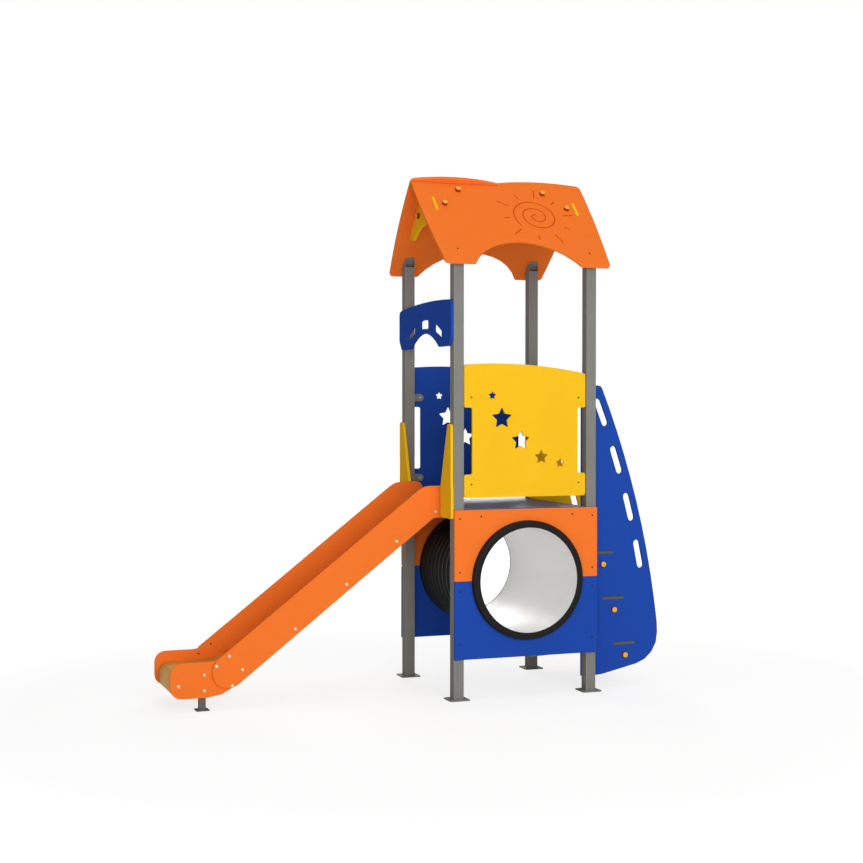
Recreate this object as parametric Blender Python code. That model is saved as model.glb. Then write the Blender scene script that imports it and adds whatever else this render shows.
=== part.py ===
# Multi-play structure: a square play tower with a roof, a slide, a crawl tunnel and a step climber.
# Metres, +Z up. The origin is the centre of the front left post's foot, on the ground.
# +X runs along the tunnel front to the climber, the slide leaves towards -X, and +Y goes to the back.
# Nothing on the structure moves: boards, steel posts and pipe are bolted together.
import math

import bmesh
import bpy
from mathutils import Matrix, Vector

# Fits: faces that touch are GAP apart, and what passes through a board has SLIP round it
GAP = 0.0003
SLIP = 0.0005

# Boards are cut from plastic sheet, with the cut edges broken
BOARD = 0.018
BOARD_EDGE = 0.002

# Posts: square steel tube with a welded foot plate
POST_SPACING = 0.914
POST_SIZE = 0.070
POST_WALL = 0.004
POST_CORNER = 0.006
FOOT_PLATE = 0.132
FOOT_PLATE_THICKNESS = 0.008
FOOT_PLATE_CORNER = 0.010
ANCHOR_HOLE = 0.013
ANCHOR_SPACING = 0.102
HEAD_WINDOW = 0.021
HEAD_PLATE_THICKNESS = 0.005
HEAD_PLATE_OVERHANG = 0.006

# Deck and the angle frame under it
DECK_HEIGHT = 1.200
DECK_STEP_IN = 0.005
FRAME_DEPTH = 0.040
FRAME_WALL = 0.004

# Lower panels, in two halves that meet at the tunnel
PANEL_BELOW_DECK = 0.006
PANEL_BOTTOM = 0.257
PANEL_SEAM = 0.0015
PANEL_SEAM_ABOVE_TUNNEL = 0.0038
PANEL_CORNER = 0.006

# Crawl tunnel: a ribbed pipe, and a smooth lining that runs on through a ring at each mouth
TUNNEL_BELOW_DECK = 0.456
TUNNEL_BORE = 0.335
LINING_WALL = 0.0035
LINING_SHORT_OF_RING = 0.001
PIPE_WALL = 0.006
RIB_HEIGHT = 0.026
RIB_COUNT = 14
RIB_CREST_SHARE = 0.42
RIB_ROOT_SHARE = 0.66
RIB_CLEARANCE = 0.001
RING_WIDTH = 0.0385
RING_HEIGHT = 0.038
RING_EDGE = 0.012
ROUND_STEPS = 30

# Barriers between the posts, with heights from the deck's top
BARRIER_GAP = 0.003
BARRIER_SET_BACK = 0.007
BARRIER_FOOT_GAP = 0.069
BARRIER_LEFT_TOP = 0.905
BARRIER_PEAK = 0.913
BARRIER_PEAK_AT = 0.233
BARRIER_RIGHT_TOP = 0.853
BARRIER_CORNER = 0.016
NOTCH_BOTTOM = 0.215
NOTCH_TOP = 0.635
NOTCH_DEPTH = 0.055
NOTCH_CORNER = 0.012
TAB_THICKNESS = 0.006
TAB_HEIGHT = 0.050
TAB_END_STEPS = 5
BARRIER_BOLT_IN = 0.052
BARRIER_BOLTS = (0.153, 0.699)
# Star cut-outs: distance from the left post's axis, height and outer radius
STARS = ((0.230, 0.711, 0.031), (0.295, 0.567, 0.073), (0.423, 0.426, 0.067),
         (0.566, 0.320, 0.049), (0.697, 0.281, 0.034))
STAR_WAIST = 0.50
STAR_TIP = 0.004

# Entry arch over the slide, with its feet's height from the deck and its other heights from its feet
ARCH_FEET_ABOVE_DECK = 1.020
ARCH_CROWN_RISE = 0.094
ARCH_SPAN = 0.540
ARCH_NEAR_RISE = 0.290
ARCH_PEAK_RISE = 0.298
ARCH_PEAK_AT = 0.330
ARCH_FAR_RISE = 0.262
ARCH_TOP_CORNER = 0.030
ARCH_FOOT_IN = 0.045
ARCH_FOOT_LIFT = 0.060
ARCH_FOOT_CORNER = 0.020
BAND_RISE = 0.126
BAND_HEIGHT = 0.056
BAND_FALL = 0.80
BAND_CENTRE_HALF = 0.078
BAND_SIDE_FROM = 0.180
BAND_SIDE_TO = 0.322

# Slide
SLIDE_BOARD_INSET = 0.172
SLIDE_BOARD_ABOVE_DECK = 0.138
SLIDE_BOARD_BELOW_DECK = 0.066
SLIDE_ANGLE = math.radians(37.8)
SLIDE_TOP_BREAK = -0.157
SLIDE_BOARD_DEPTH = 0.202
SLIDE_TOP_BEND = 0.120
SLIDE_INNER_CORNER = 0.045
CHUTE_DEPTH = 0.150
CHUTE_SHEET = 0.003
CHUTE_FLANGE = 0.025
CHUTE_TOP_BEND = 0.280
CHUTE_FOOT_BEND = 0.450
CHUTE_ROLL = 0.050
CHUTE_ROLL_BOTTOM = 0.100
CHUTE_TAPER = 0.026
RUN_OUT_HEIGHT = 0.228
RUN_OUT_INSIDE = 0.025
KNEE_HEIGHT = 0.232
END_BOARD_REACH = 0.353
END_BOARD_TOP = 0.296
END_BOARD_BOTTOM = 0.080
END_BOARD_NOSE = 0.070
END_BOARD_TAIL = 0.080
SLIDE_FOOT_FROM_KNEE = 0.153
SLIDE_FOOT_TUBE = 0.040
SLIDE_FOOT_TOP = 0.192
SLIDE_FOOT_WALL = 0.003
SLIDE_FOOT_PLATE = 0.080
SLIDE_FOOT_PLATE_THICKNESS = 0.006
HANGER_LEG = 0.040
HANGER_WALL = 0.004
HANGER_CLEARANCE = 0.002

# Guards that narrow the slide's entry, with heights from the deck's top
GUARD_WIDTH = 0.190
GUARD_TOP_WIDTH = 0.066
GUARD_BELOW_DECK = 0.060
GUARD_SHOULDER = 0.140
GUARD_TOP = 0.533
GUARD_SET_IN = 0.006
GUARD_JOG = (0.100, 0.170)

# Step climber; the top, the middle of the bowed edge and the slots are set out from the deck
CLIMBER_ABOVE_DECK = 0.777
CLIMBER_TOP_REACH = 0.141
CLIMBER_MID = (0.403, 0.009)
CLIMBER_KNEE = (0.553, 0.420)
CLIMBER_TOE = (0.561, 0.185)
CLIMBER_HEEL = (0.142, 0.092)
CLIMBER_BOTTOM = 0.088
CLIMBER_TOP_CORNER = 0.030
CLIMBER_TOE_CORNER = 0.200
SLOT_EDGE = 0.066
SLOT_LENGTH = 0.190
SLOT_WIDTH = 0.044
SLOT_TOP_ABOVE_DECK = 0.602
SLOT_PITCH = 0.310
SLOT_COUNT = 4
SLOT_END_STEPS = 4
TREAD_COUNT = 3
TREAD_FIRST_X = 1.030
TREAD_STEP_OUT = 0.080
TREAD_THICKNESS = 0.020
TREAD_DEPTH = 0.200
TREAD_CORNER = 0.010
TENON_WIDTH = 0.150
TENON_PROUD = 0.003
ROD_BELOW_TREAD = 0.076
ROD_DIAMETER = 0.020
CAP_DIAMETER = 0.036
CAP_LENGTH = 0.024
CAP_ROUND = 0.005
ROD_STEPS = 10

# Roof: two identical boards that lock at the ridge
RIDGE_ABOVE_DECK = 2.114
ROOF_PITCH = math.radians(46.25)
ROOF_TOP_HALF = 0.606
ROOF_MID = (0.596, 0.400)
ROOF_LOW = (0.570, 0.740)
ROOF_FOOT_HALF = 0.565
ROOF_LENGTH = 0.799
ROOF_SIDE_CORNER = 0.030
ROOF_SUNK_CORNER = 0.012
CREST_HEIGHT = 0.036
CREST_HIGH_AT = 0.300
CREST_START = 0.007
CREST_END = 0.010
CREST_SINK = 0.0245
ROOF_ARCH_TOP = 0.578
ROOF_ARCH_RADIUS = 0.410
ROOF_FOOT_CORNER = 0.028
ROOF_ARCH_CORNER = 0.018
ROOF_CAPS = ((0.300, 0.092), (0.430, 0.237))

# Gable braces with tenons through the roof boards, set in from the roof's side edges
BRACE_SET_IN = 0.111
BRACE_TOP = 0.055
BRACE_TENON = (0.173, 0.297)
BRACE_TENON_PROUD = 0.004
BRACE_FEET_BELOW_RIDGE = 0.372
BRACE_CROWN_BELOW_RIDGE = 0.290
BRACE_ARCH_HALF = 0.215
BRACE_TOE_CORNER = 0.030
BRACE_CAP = (0.112, 0.223)
RIDGE_PLATE = 0.004
RIDGE_PLATE_LEG = 0.262
RIDGE_PLATE_SPAN = (0.268, 0.458)

# Colours as the daylight shows them, with roughness and metallic
YELLOW = ((0.930, 0.530, 0.016, 1.0), 0.42, 0.0)
ORANGE = ((0.910, 0.196, 0.030, 1.0), 0.42, 0.0)
BLUE = ((0.017, 0.070, 0.400, 1.0), 0.42, 0.0)
RED = ((0.480, 0.022, 0.010, 1.0), 0.35, 0.0)
BLACK = ((0.012, 0.012, 0.012, 1.0), 0.50, 0.0)
WHITE = ((0.760, 0.760, 0.750, 1.0), 0.45, 0.0)
GREY_DECK = ((0.130, 0.130, 0.140, 1.0), 0.80, 0.0)
GREY_STEEL = ((0.250, 0.245, 0.230, 1.0), 0.50, 0.2)
DARK_TREAD = ((0.085, 0.085, 0.080, 1.0), 0.75, 0.0)
STAINLESS = ((0.600, 0.590, 0.560, 1.0), 0.25, 1.0)
ZINC = ((0.420, 0.420, 0.410, 1.0), 0.40, 1.0)

# Places worked out from the sizes above
HALF_POST = POST_SIZE / 2
MIDDLE = POST_SPACING / 2
RIGHT_OUTER = POST_SPACING + HALF_POST
RIGHT_INNER = POST_SPACING - HALF_POST
SLIDE_SLOPE = math.tan(SLIDE_ANGLE)
CLIMBER_X = RIGHT_INNER
STEP_RISE = DECK_HEIGHT / (TREAD_COUNT + 1)
TUNNEL_HEIGHT = DECK_HEIGHT - TUNNEL_BELOW_DECK
PANEL_TOP = DECK_HEIGHT - PANEL_BELOW_DECK
PANEL_SEAM_HEIGHT = TUNNEL_HEIGHT + PANEL_SEAM_ABOVE_TUNNEL
ARCH_FEET = DECK_HEIGHT + ARCH_FEET_ABOVE_DECK
CLIMBER_TOP = DECK_HEIGHT + CLIMBER_ABOVE_DECK
RIDGE_HEIGHT = DECK_HEIGHT + RIDGE_ABOVE_DECK
SLIDE_BOARD_TOP = DECK_HEIGHT + SLIDE_BOARD_ABOVE_DECK
SLIDE_BOARD_BOTTOM = DECK_HEIGHT - SLIDE_BOARD_BELOW_DECK
SLIDE_TOP_LINE = SLIDE_BOARD_TOP - SLIDE_SLOPE * SLIDE_TOP_BREAK
LINING_OUTER = TUNNEL_BORE + LINING_WALL
PIPE_BORE = LINING_OUTER + GAP
PIPE_ROOT = PIPE_BORE + PIPE_WALL
RING_RADIUS = PIPE_BORE + RING_WIDTH
BRACE_FROM_CENTRE = ROOF_TOP_HALF - BRACE_SET_IN


def remove_all_objects():
    for old in list(bpy.data.objects):
        bpy.data.objects.remove(old, do_unlink=True)


def rounded(corners, steps_per_turn=28, closed=True):
    """Points of a line through corners (a, b, radius), each corner turned with its own radius."""
    points = []
    count = len(corners)
    for i, (a, b, radius) in enumerate(corners):
        here = Vector((a, b))
        is_end = not closed and i in (0, count - 1)
        if radius <= 0 or is_end:
            points.append((a, b))
            continue
        before = Vector(corners[i - 1][:2]) - here
        after = Vector(corners[(i + 1) % count][:2]) - here
        angle = before.angle(after)
        if math.pi - angle < 1e-4:
            continue
        reach = radius / math.tan(angle / 2)
        start = here + before.normalized() * reach
        end = here + after.normalized() * reach
        centre = here + (before.normalized() + after.normalized()).normalized() * (radius / math.sin(angle / 2))
        first = (start - centre)
        turn = first.angle_signed(end - centre)
        steps = max(2, round(abs(turn) / (2 * math.pi) * steps_per_turn))
        for k in range(steps + 1):
            spoke = first.copy()
            spoke.rotate(Matrix.Rotation(-turn * k / steps, 2))
            points.append(tuple(centre + spoke))
    return points


def circle_through(p, q, r):
    """Centre and radius of the circle through three points."""
    ax, ay = q[0] - p[0], q[1] - p[1]
    bx, by = r[0] - p[0], r[1] - p[1]
    d = 2 * (ax * by - ay * bx)
    ux = (by * (ax * ax + ay * ay) - ay * (bx * bx + by * by)) / d
    uy = (ax * (bx * bx + by * by) - bx * (ax * ax + ay * ay)) / d
    return Vector((p[0] + ux, p[1] + uy)), math.hypot(ux, uy)


def arc_through(p, q, r, steps):
    """Points of the arc from p through q to r, without p and r themselves."""
    centre, radius = circle_through(p, q, r)
    start = math.atan2(p[1] - centre.y, p[0] - centre.x)
    end = math.atan2(r[1] - centre.y, r[0] - centre.x)
    turn = (end - start + math.pi) % (2 * math.pi) - math.pi
    angles = [start + turn * k / steps for k in range(1, steps)]
    return [(centre.x + radius * math.cos(t), centre.y + radius * math.sin(t)) for t in angles]


def circle(centre, radius, steps):
    turns = [2 * math.pi * k / steps for k in range(steps)]
    return [(centre[0] + radius * math.cos(t), centre[1] + radius * math.sin(t)) for t in turns]


def new_object(name, bm, finish):
    """Turn a bmesh into a named object with its own material."""
    bmesh.ops.recalc_face_normals(bm, faces=bm.faces)
    mesh = bpy.data.meshes.new(name)
    bm.to_mesh(mesh)
    bm.free()
    made = bpy.data.objects.new(name, mesh)
    bpy.context.scene.collection.objects.link(made)
    colour, roughness, metallic = finish
    material = bpy.data.materials.new(name + "_material")
    material.use_nodes = True
    shader = material.node_tree.nodes["Principled BSDF"]
    shader.inputs["Base Color"].default_value = colour
    shader.inputs["Roughness"].default_value = roughness
    shader.inputs["Metallic"].default_value = metallic
    material.diffuse_color = colour
    mesh.materials.append(material)
    return made


def twin(name, source, finish):
    """A second piece of the same shape, with its own mesh and material."""
    bm = bmesh.new()
    bm.from_mesh(source.data)
    return new_object(name, bm, finish)


def slab(outline, thickness, edge=0.0):
    """A flat piece in local XY, from z = 0 up to its thickness, with its outer rims chamfered."""
    bm = bmesh.new()
    rim = [bm.verts.new((a, b, 0.0)) for a, b in outline]
    face = bm.faces.new(rim)
    lifted = bmesh.ops.extrude_face_region(bm, geom=[face])
    top = [v for v in lifted["geom"] if isinstance(v, bmesh.types.BMVert)]
    bmesh.ops.translate(bm, vec=(0.0, 0.0, thickness), verts=top)
    if edge > 0:
        flat = [e for e in bm.edges if abs(e.verts[0].co.z - e.verts[1].co.z) < 1e-6]
        bmesh.ops.bevel(bm, geom=flat, offset=edge, segments=1, profile=0.5, affect="EDGES")
    return bm


def block(low, high):
    bm = bmesh.new()
    size = Vector(high) - Vector(low)
    bmesh.ops.create_cube(bm, size=1.0)
    bmesh.ops.scale(bm, vec=size, verts=bm.verts)
    bmesh.ops.translate(bm, vec=(Vector(low) + Vector(high)) / 2, verts=bm.verts)
    return bm


def turned(profile, steps, closed=True):
    """A piece turned about local Z from points (radius, height)."""
    bm = bmesh.new()
    verts = [bm.verts.new((r, 0.0, h)) for r, h in profile]
    edges = [bm.edges.new((a, b)) for a, b in zip(verts, verts[1:])]
    if closed:
        edges.append(bm.edges.new((verts[-1], verts[0])))
    bmesh.ops.spin(bm, geom=verts + edges, axis=(0, 0, 1), cent=(0, 0, 0), angle=2 * math.pi,
                   steps=steps, use_merge=True)
    bmesh.ops.remove_doubles(bm, verts=bm.verts, dist=1e-5)
    return bm


def boolean(body, tool, operation):
    """Cut a tool from a body or join it on, and drop the tool."""
    change = body.modifiers.new("change", "BOOLEAN")
    change.operation = operation
    change.object = tool
    change.solver = "EXACT"
    bpy.context.view_layer.update()
    graph = bpy.context.evaluated_depsgraph_get()
    result = bpy.data.meshes.new_from_object(body.evaluated_get(graph))
    body.modifiers.remove(change)
    old = body.data
    result.materials.clear()
    result.materials.append(old.materials[0])
    body.data = result
    result.name = body.name
    bpy.data.meshes.remove(old)
    bpy.data.objects.remove(tool, do_unlink=True)


def tool_from(bm):
    return new_object("tool", bm, GREY_STEEL)


def cut_through(body, outline, thickness):
    """Cut an outline right through a flat piece."""
    bm = slab(outline, thickness * 3)
    bmesh.ops.translate(bm, vec=(0.0, 0.0, -thickness), verts=bm.verts)
    boolean(body, tool_from(bm), "DIFFERENCE")


def shade(made, sharp_degrees=35):
    made.data.shade_smooth()
    made.data.set_sharp_from_angle(angle=math.radians(sharp_degrees))


def stand_across(made, x, y, z):
    """Stand a flat piece in the XZ plane: local Z points to -Y."""
    made.location = (x, y, z)
    made.rotation_euler = (math.pi / 2, 0.0, 0.0)


def stand_along(made, x, y, z):
    """Stand a flat piece in the YZ plane: local X points to +Y and local Z to +X."""
    made.location = (x, y, z)
    made.rotation_euler = (math.pi / 2, 0.0, math.pi / 2)


def roof_height(y, depth=0.0):
    """Height of a roof board's outer face at y, or of a plane that lies depth under it."""
    return RIDGE_HEIGHT - abs(y - MIDDLE) * math.tan(ROOF_PITCH) - depth / math.cos(ROOF_PITCH)


# Posts

def make_post(name, x, y, inward, outward):
    """One post; inward is the X direction of its barrier tabs, outward the Y side that it faces."""
    lean = ROOF_PITCH if y < MIDDLE else -ROOF_PITCH
    head_depth = BOARD + GAP + HEAD_PLATE_THICKNESS
    tall = roof_height(MIDDLE)

    corner = POST_CORNER
    square = [(-HALF_POST, -HALF_POST, corner), (HALF_POST, -HALF_POST, corner),
              (HALF_POST, HALF_POST, corner), (-HALF_POST, HALF_POST, corner)]
    tube = new_object(name, slab(rounded(square, 8), tall), GREY_STEEL)
    inner = HALF_POST - POST_WALL
    hollow = block((-inner, -inner, FOOT_PLATE_THICKNESS + POST_WALL), (inner, inner, 2 * tall))
    boolean(tube, tool_from(hollow), "DIFFERENCE")

    # the side walls run up to the head plate; the front and back walls stop below it
    window_bottom = roof_height(y, head_depth) - HEAD_WINDOW
    window = block((-inner, -POST_SIZE, window_bottom), (inner, POST_SIZE, 2 * tall))
    boolean(tube, tool_from(window), "DIFFERENCE")
    above = block((-POST_SIZE, -tall, 0.0), (POST_SIZE, tall, tall))
    bmesh.ops.rotate(above, matrix=Matrix.Rotation(lean, 3, "X"), verts=above.verts)
    bmesh.ops.translate(above, vec=(0, 0, roof_height(y, head_depth - 0.001)), verts=above.verts)
    boolean(tube, tool_from(above), "DIFFERENCE")
    half_plate = HALF_POST / math.cos(ROOF_PITCH) + HEAD_PLATE_OVERHANG
    head = block((-HALF_POST + 0.001, -half_plate, 0.0), (HALF_POST - 0.001, half_plate, HEAD_PLATE_THICKNESS))
    bmesh.ops.rotate(head, matrix=Matrix.Rotation(lean, 3, "X"), verts=head.verts)
    bmesh.ops.translate(head, vec=(0, 0, roof_height(y, head_depth)), verts=head.verts)
    boolean(tube, tool_from(head), "UNION")

    half = FOOT_PLATE / 2
    plate_corners = [(-half, -half, FOOT_PLATE_CORNER), (half, -half, FOOT_PLATE_CORNER),
                     (half, half, FOOT_PLATE_CORNER), (-half, half, FOOT_PLATE_CORNER)]
    plate = tool_from(slab(rounded(plate_corners, 12), FOOT_PLATE_THICKNESS))
    for sx in (-1, 1):
        for sy in (-1, 1):
            centre = (sx * ANCHOR_SPACING / 2, sy * ANCHOR_SPACING / 2)
            cut_through(plate, circle(centre, ANCHOR_HOLE / 2, 6), FOOT_PLATE_THICKNESS)
    boolean(tube, plate, "UNION")

    # round-ended tabs behind the barrier's bolts
    barrier_inner_face = HALF_POST - BARRIER_SET_BACK - BOARD
    tab_face = barrier_inner_face - GAP
    reach = HALF_POST + BARRIER_BOLT_IN
    for above_deck in BARRIER_BOLTS:
        z = DECK_HEIGHT + above_deck
        end = TAB_HEIGHT / 2
        outline = [(HALF_POST - POST_WALL / 2, -end)]
        outline += [(reach + end * math.sin(t), -end * math.cos(t)) for t in
                    [math.pi * k / TAB_END_STEPS for k in range(TAB_END_STEPS + 1)]]
        outline += [(HALF_POST - POST_WALL / 2, end)]
        tab = slab(outline, TAB_THICKNESS)
        bmesh.ops.rotate(tab, matrix=Matrix.Rotation(math.pi / 2, 3, "X"), verts=tab.verts)
        low = tab_face if outward > 0 else -tab_face + TAB_THICKNESS
        bmesh.ops.scale(tab, vec=(inward, 1.0, 1.0), verts=tab.verts)
        bmesh.ops.translate(tab, vec=(0.0, low, z), verts=tab.verts)
        boolean(tube, tool_from(tab), "UNION")
    tube.location = (x, y, 0.0)
    shade(tube)
    return tube


# Deck

def make_deck():
    top_thickness = BOARD
    left = HALF_POST + GAP
    right = RIGHT_INNER - DECK_STEP_IN
    front = -HALF_POST
    back = RIGHT_OUTER
    outline = rounded([(left, front, 0.004), (right, front, 0.012), (right, back, 0.012), (left, back, 0.004)], 8)
    deck = new_object("platform_deck", slab(outline, top_thickness, BOARD_EDGE), GREY_DECK)
    deck.location = (0.0, 0.0, DECK_HEIGHT - top_thickness)
    shade(deck)

    # angle section run round a rectangle: a flange under the deck and a web down its outside
    frame_top = DECK_HEIGHT - top_thickness - GAP
    section = [(0.0, 0.0), (FRAME_DEPTH, 0.0), (FRAME_DEPTH, -FRAME_WALL), (FRAME_WALL, -FRAME_WALL),
               (FRAME_WALL, -FRAME_DEPTH), (0.0, -FRAME_DEPTH)]
    frame_right = RIGHT_INNER - GAP
    bm = bmesh.new()
    rings = []
    for in_step, drop in section:
        ring = [(left + in_step, front + in_step), (frame_right - in_step, front + in_step),
                (frame_right - in_step, back - in_step), (left + in_step, back - in_step)]
        rings.append([bm.verts.new((a, b, frame_top + drop)) for a, b in ring])
    for i, ring in enumerate(rings):
        following = rings[(i + 1) % len(rings)]
        for k in range(4):
            m = (k + 1) % 4
            bm.faces.new((ring[k], ring[m], following[m], following[k]))
    new_object("deck_frame", bm, ZINC)


# Lower panels and tunnel

def make_lower_panels():
    hole = PIPE_ROOT + SLIP
    for half, low, high, colour in (("upper", PANEL_SEAM_HEIGHT + PANEL_SEAM / 2, PANEL_TOP, ORANGE),
                                    ("lower", PANEL_BOTTOM, PANEL_SEAM_HEIGHT - PANEL_SEAM / 2, BLUE)):
        corners = [(-HALF_POST, low, PANEL_CORNER), (RIGHT_OUTER, low, PANEL_CORNER),
                   (RIGHT_OUTER, high, PANEL_CORNER), (-HALF_POST, high, PANEL_CORNER)]
        front = new_object("front_panel_" + half, slab(rounded(corners, 8), BOARD, BOARD_EDGE), colour)
        cut_through(front, circle((MIDDLE, TUNNEL_HEIGHT), hole, ROUND_STEPS), BOARD)
        back = twin("back_panel_" + half, front, colour)
        stand_across(front, 0.0, -HALF_POST - GAP, 0.0)
        stand_across(back, 0.0, RIGHT_OUTER + GAP + BOARD, 0.0)
        shade(front)
        shade(back)


def make_tunnel():
    front = -HALF_POST - GAP - BOARD
    back = RIGHT_OUTER + GAP + BOARD
    length = back - front
    crest = PIPE_ROOT + RIB_HEIGHT

    # the plain ends pass through the panels, and the ribs fill the space between them
    first_rib = BOARD + RIB_CLEARANCE
    pitch = (length - 2 * first_rib) / RIB_COUNT
    outside = [(PIPE_ROOT, 0.0)]
    for i in range(RIB_COUNT):
        centre = first_rib + (i + 0.5) * pitch
        for shift, radius in ((-RIB_ROOT_SHARE / 2, PIPE_ROOT), (-RIB_CREST_SHARE / 2, crest),
                              (RIB_CREST_SHARE / 2, crest), (RIB_ROOT_SHARE / 2, PIPE_ROOT)):
            outside.append((radius, centre + shift * pitch))
    outside.append((PIPE_ROOT, length))
    inside = [(PIPE_BORE, length), (PIPE_BORE, 0.0)]
    pipe = new_object("tunnel_pipe", turned(outside + inside, ROUND_STEPS), BLACK)
    past = GAP + RING_HEIGHT - LINING_SHORT_OF_RING
    lining_profile = [(LINING_OUTER, -past), (LINING_OUTER, length + past), (TUNNEL_BORE, length + past),
                      (TUNNEL_BORE, -past)]
    lining = new_object("tunnel_lining", turned(lining_profile, ROUND_STEPS), WHITE)
    for piece in (pipe, lining):
        piece.location = (MIDDLE, back, TUNNEL_HEIGHT)
        piece.rotation_euler = (math.pi / 2, 0.0, 0.0)
        shade(piece)

    # a moulded ring with a bull nose, screwed to the panel round each mouth
    nose = [(RING_RADIUS, 0.0), (RING_RADIUS, RING_EDGE), (RING_RADIUS - RING_WIDTH * 0.16, RING_HEIGHT * 0.60),
            (RING_RADIUS - RING_WIDTH * 0.42, RING_HEIGHT * 0.90), (RING_RADIUS - RING_WIDTH * 0.70, RING_HEIGHT),
            (PIPE_BORE, RING_HEIGHT), (PIPE_BORE, 0.0)]
    for name, y, tilt in (("tunnel_ring_front", front - GAP, math.pi / 2),
                          ("tunnel_ring_back", back + GAP, -math.pi / 2)):
        ring = new_object(name, turned(nose, ROUND_STEPS), BLACK)
        ring.location = (MIDDLE, y, TUNNEL_HEIGHT)
        ring.rotation_euler = (tilt, 0.0, 0.0)
        shade(ring)


# Barriers

def star(centre, radius):
    corners = []
    for k in range(10):
        is_tip = k % 2 == 0
        reach = radius if is_tip else radius * STAR_WAIST
        turn = math.pi / 2 + math.pi * k / 5
        corners.append((centre[0] + reach * math.cos(turn), centre[1] + reach * math.sin(turn),
                        STAR_TIP if is_tip else 0.0))
    return rounded(corners, 6)


def make_barriers():
    """Both barriers; their outline is drawn from the deck's top."""
    left = HALF_POST + BARRIER_GAP
    right = RIGHT_INNER - BARRIER_GAP
    notch_left = left + NOTCH_DEPTH
    notch_right = right - NOTCH_DEPTH
    top = arc_through((left, BARRIER_LEFT_TOP), (BARRIER_PEAK_AT, BARRIER_PEAK), (right, BARRIER_RIGHT_TOP), 8)
    corners = [(left, BARRIER_FOOT_GAP, BARRIER_CORNER), (right, BARRIER_FOOT_GAP, BARRIER_CORNER),
               (right, NOTCH_BOTTOM, NOTCH_CORNER), (notch_right, NOTCH_BOTTOM, NOTCH_CORNER),
               (notch_right, NOTCH_TOP, NOTCH_CORNER), (right, NOTCH_TOP, NOTCH_CORNER),
               (right, BARRIER_RIGHT_TOP, BARRIER_CORNER)]
    corners += [(a, b, 0.0) for a, b in reversed(top)]
    corners += [(left, BARRIER_LEFT_TOP, BARRIER_CORNER),
                (left, NOTCH_TOP, NOTCH_CORNER), (notch_left, NOTCH_TOP, NOTCH_CORNER),
                (notch_left, NOTCH_BOTTOM, NOTCH_CORNER), (left, NOTCH_BOTTOM, NOTCH_CORNER)]
    front = new_object("barrier_front", slab(rounded(corners, 8), BOARD, BOARD_EDGE), YELLOW)
    for x, z, radius in STARS:
        cut_through(front, star((x, z), radius), BOARD)
    back = twin("barrier_back", front, BLUE)
    stand_across(front, 0.0, -HALF_POST + BARRIER_SET_BACK + BOARD, DECK_HEIGHT)
    stand_across(back, 0.0, RIGHT_OUTER - BARRIER_SET_BACK, DECK_HEIGHT)
    shade(front)
    shade(back)


# Entry arch and guards on the slide side

def band_edge(base, distance):
    """Height of a line that falls from the arch's middle like the arch itself."""
    return base - BAND_FALL * distance * distance


def make_entry_arch():
    """The arch over the slide; its outline is drawn from its feet."""
    near = -HALF_POST
    far = RIGHT_OUTER
    half = ARCH_SPAN / 2
    top = arc_through((near, ARCH_NEAR_RISE), (ARCH_PEAK_AT, ARCH_PEAK_RISE), (far, ARCH_FAR_RISE), 6)
    fall = ARCH_CROWN_RISE / (half * half)
    steps = 10
    under = [(MIDDLE + d, ARCH_CROWN_RISE - fall * d * d) for d in
             [half - half * 2 * k / steps for k in range(1, steps)]]
    corners = [(near + ARCH_FOOT_IN, 0.0, ARCH_FOOT_CORNER), (MIDDLE - half, 0.0, 0.0)]
    corners += [(a, b, 0.0) for a, b in reversed(under)]
    corners += [(MIDDLE + half, 0.0, 0.0), (far - ARCH_FOOT_IN, 0.0, ARCH_FOOT_CORNER),
                (far, ARCH_FOOT_LIFT, ARCH_TOP_CORNER), (far, ARCH_FAR_RISE, ARCH_TOP_CORNER)]
    corners += [(a, b, 0.0) for a, b in reversed(top)]
    corners += [(near, ARCH_NEAR_RISE, ARCH_TOP_CORNER), (near, ARCH_FOOT_LIFT, ARCH_TOP_CORNER)]
    arch = new_object("entry_arch", slab(rounded(corners, 10), BOARD, BOARD_EDGE), BLUE)

    # three windows cut from one band that follows the arch
    def window(low_d, high_d, steps, corner):
        spread = [low_d + (high_d - low_d) * k / steps for k in range(steps + 1)]
        lower = [(MIDDLE + d, band_edge(BAND_RISE, d)) for d in spread]
        upper = [(MIDDLE + d, band_edge(BAND_RISE + BAND_HEIGHT, d)) for d in reversed(spread)]
        line = lower + upper
        ends = (0, steps, steps + 1, 2 * steps + 1)
        return rounded([(a, b, corner if i in ends else 0.0) for i, (a, b) in enumerate(line)], 8)

    cut_through(arch, window(-BAND_CENTRE_HALF, BAND_CENTRE_HALF, 4, 0.012), BOARD)
    cut_through(arch, window(BAND_SIDE_FROM, BAND_SIDE_TO, 4, 0.008), BOARD)
    cut_through(arch, window(-BAND_SIDE_TO, -BAND_SIDE_FROM, 4, 0.008), BOARD)
    stand_along(arch, -HALF_POST - GAP - BOARD, 0.0, ARCH_FEET)
    shade(arch)


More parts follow.
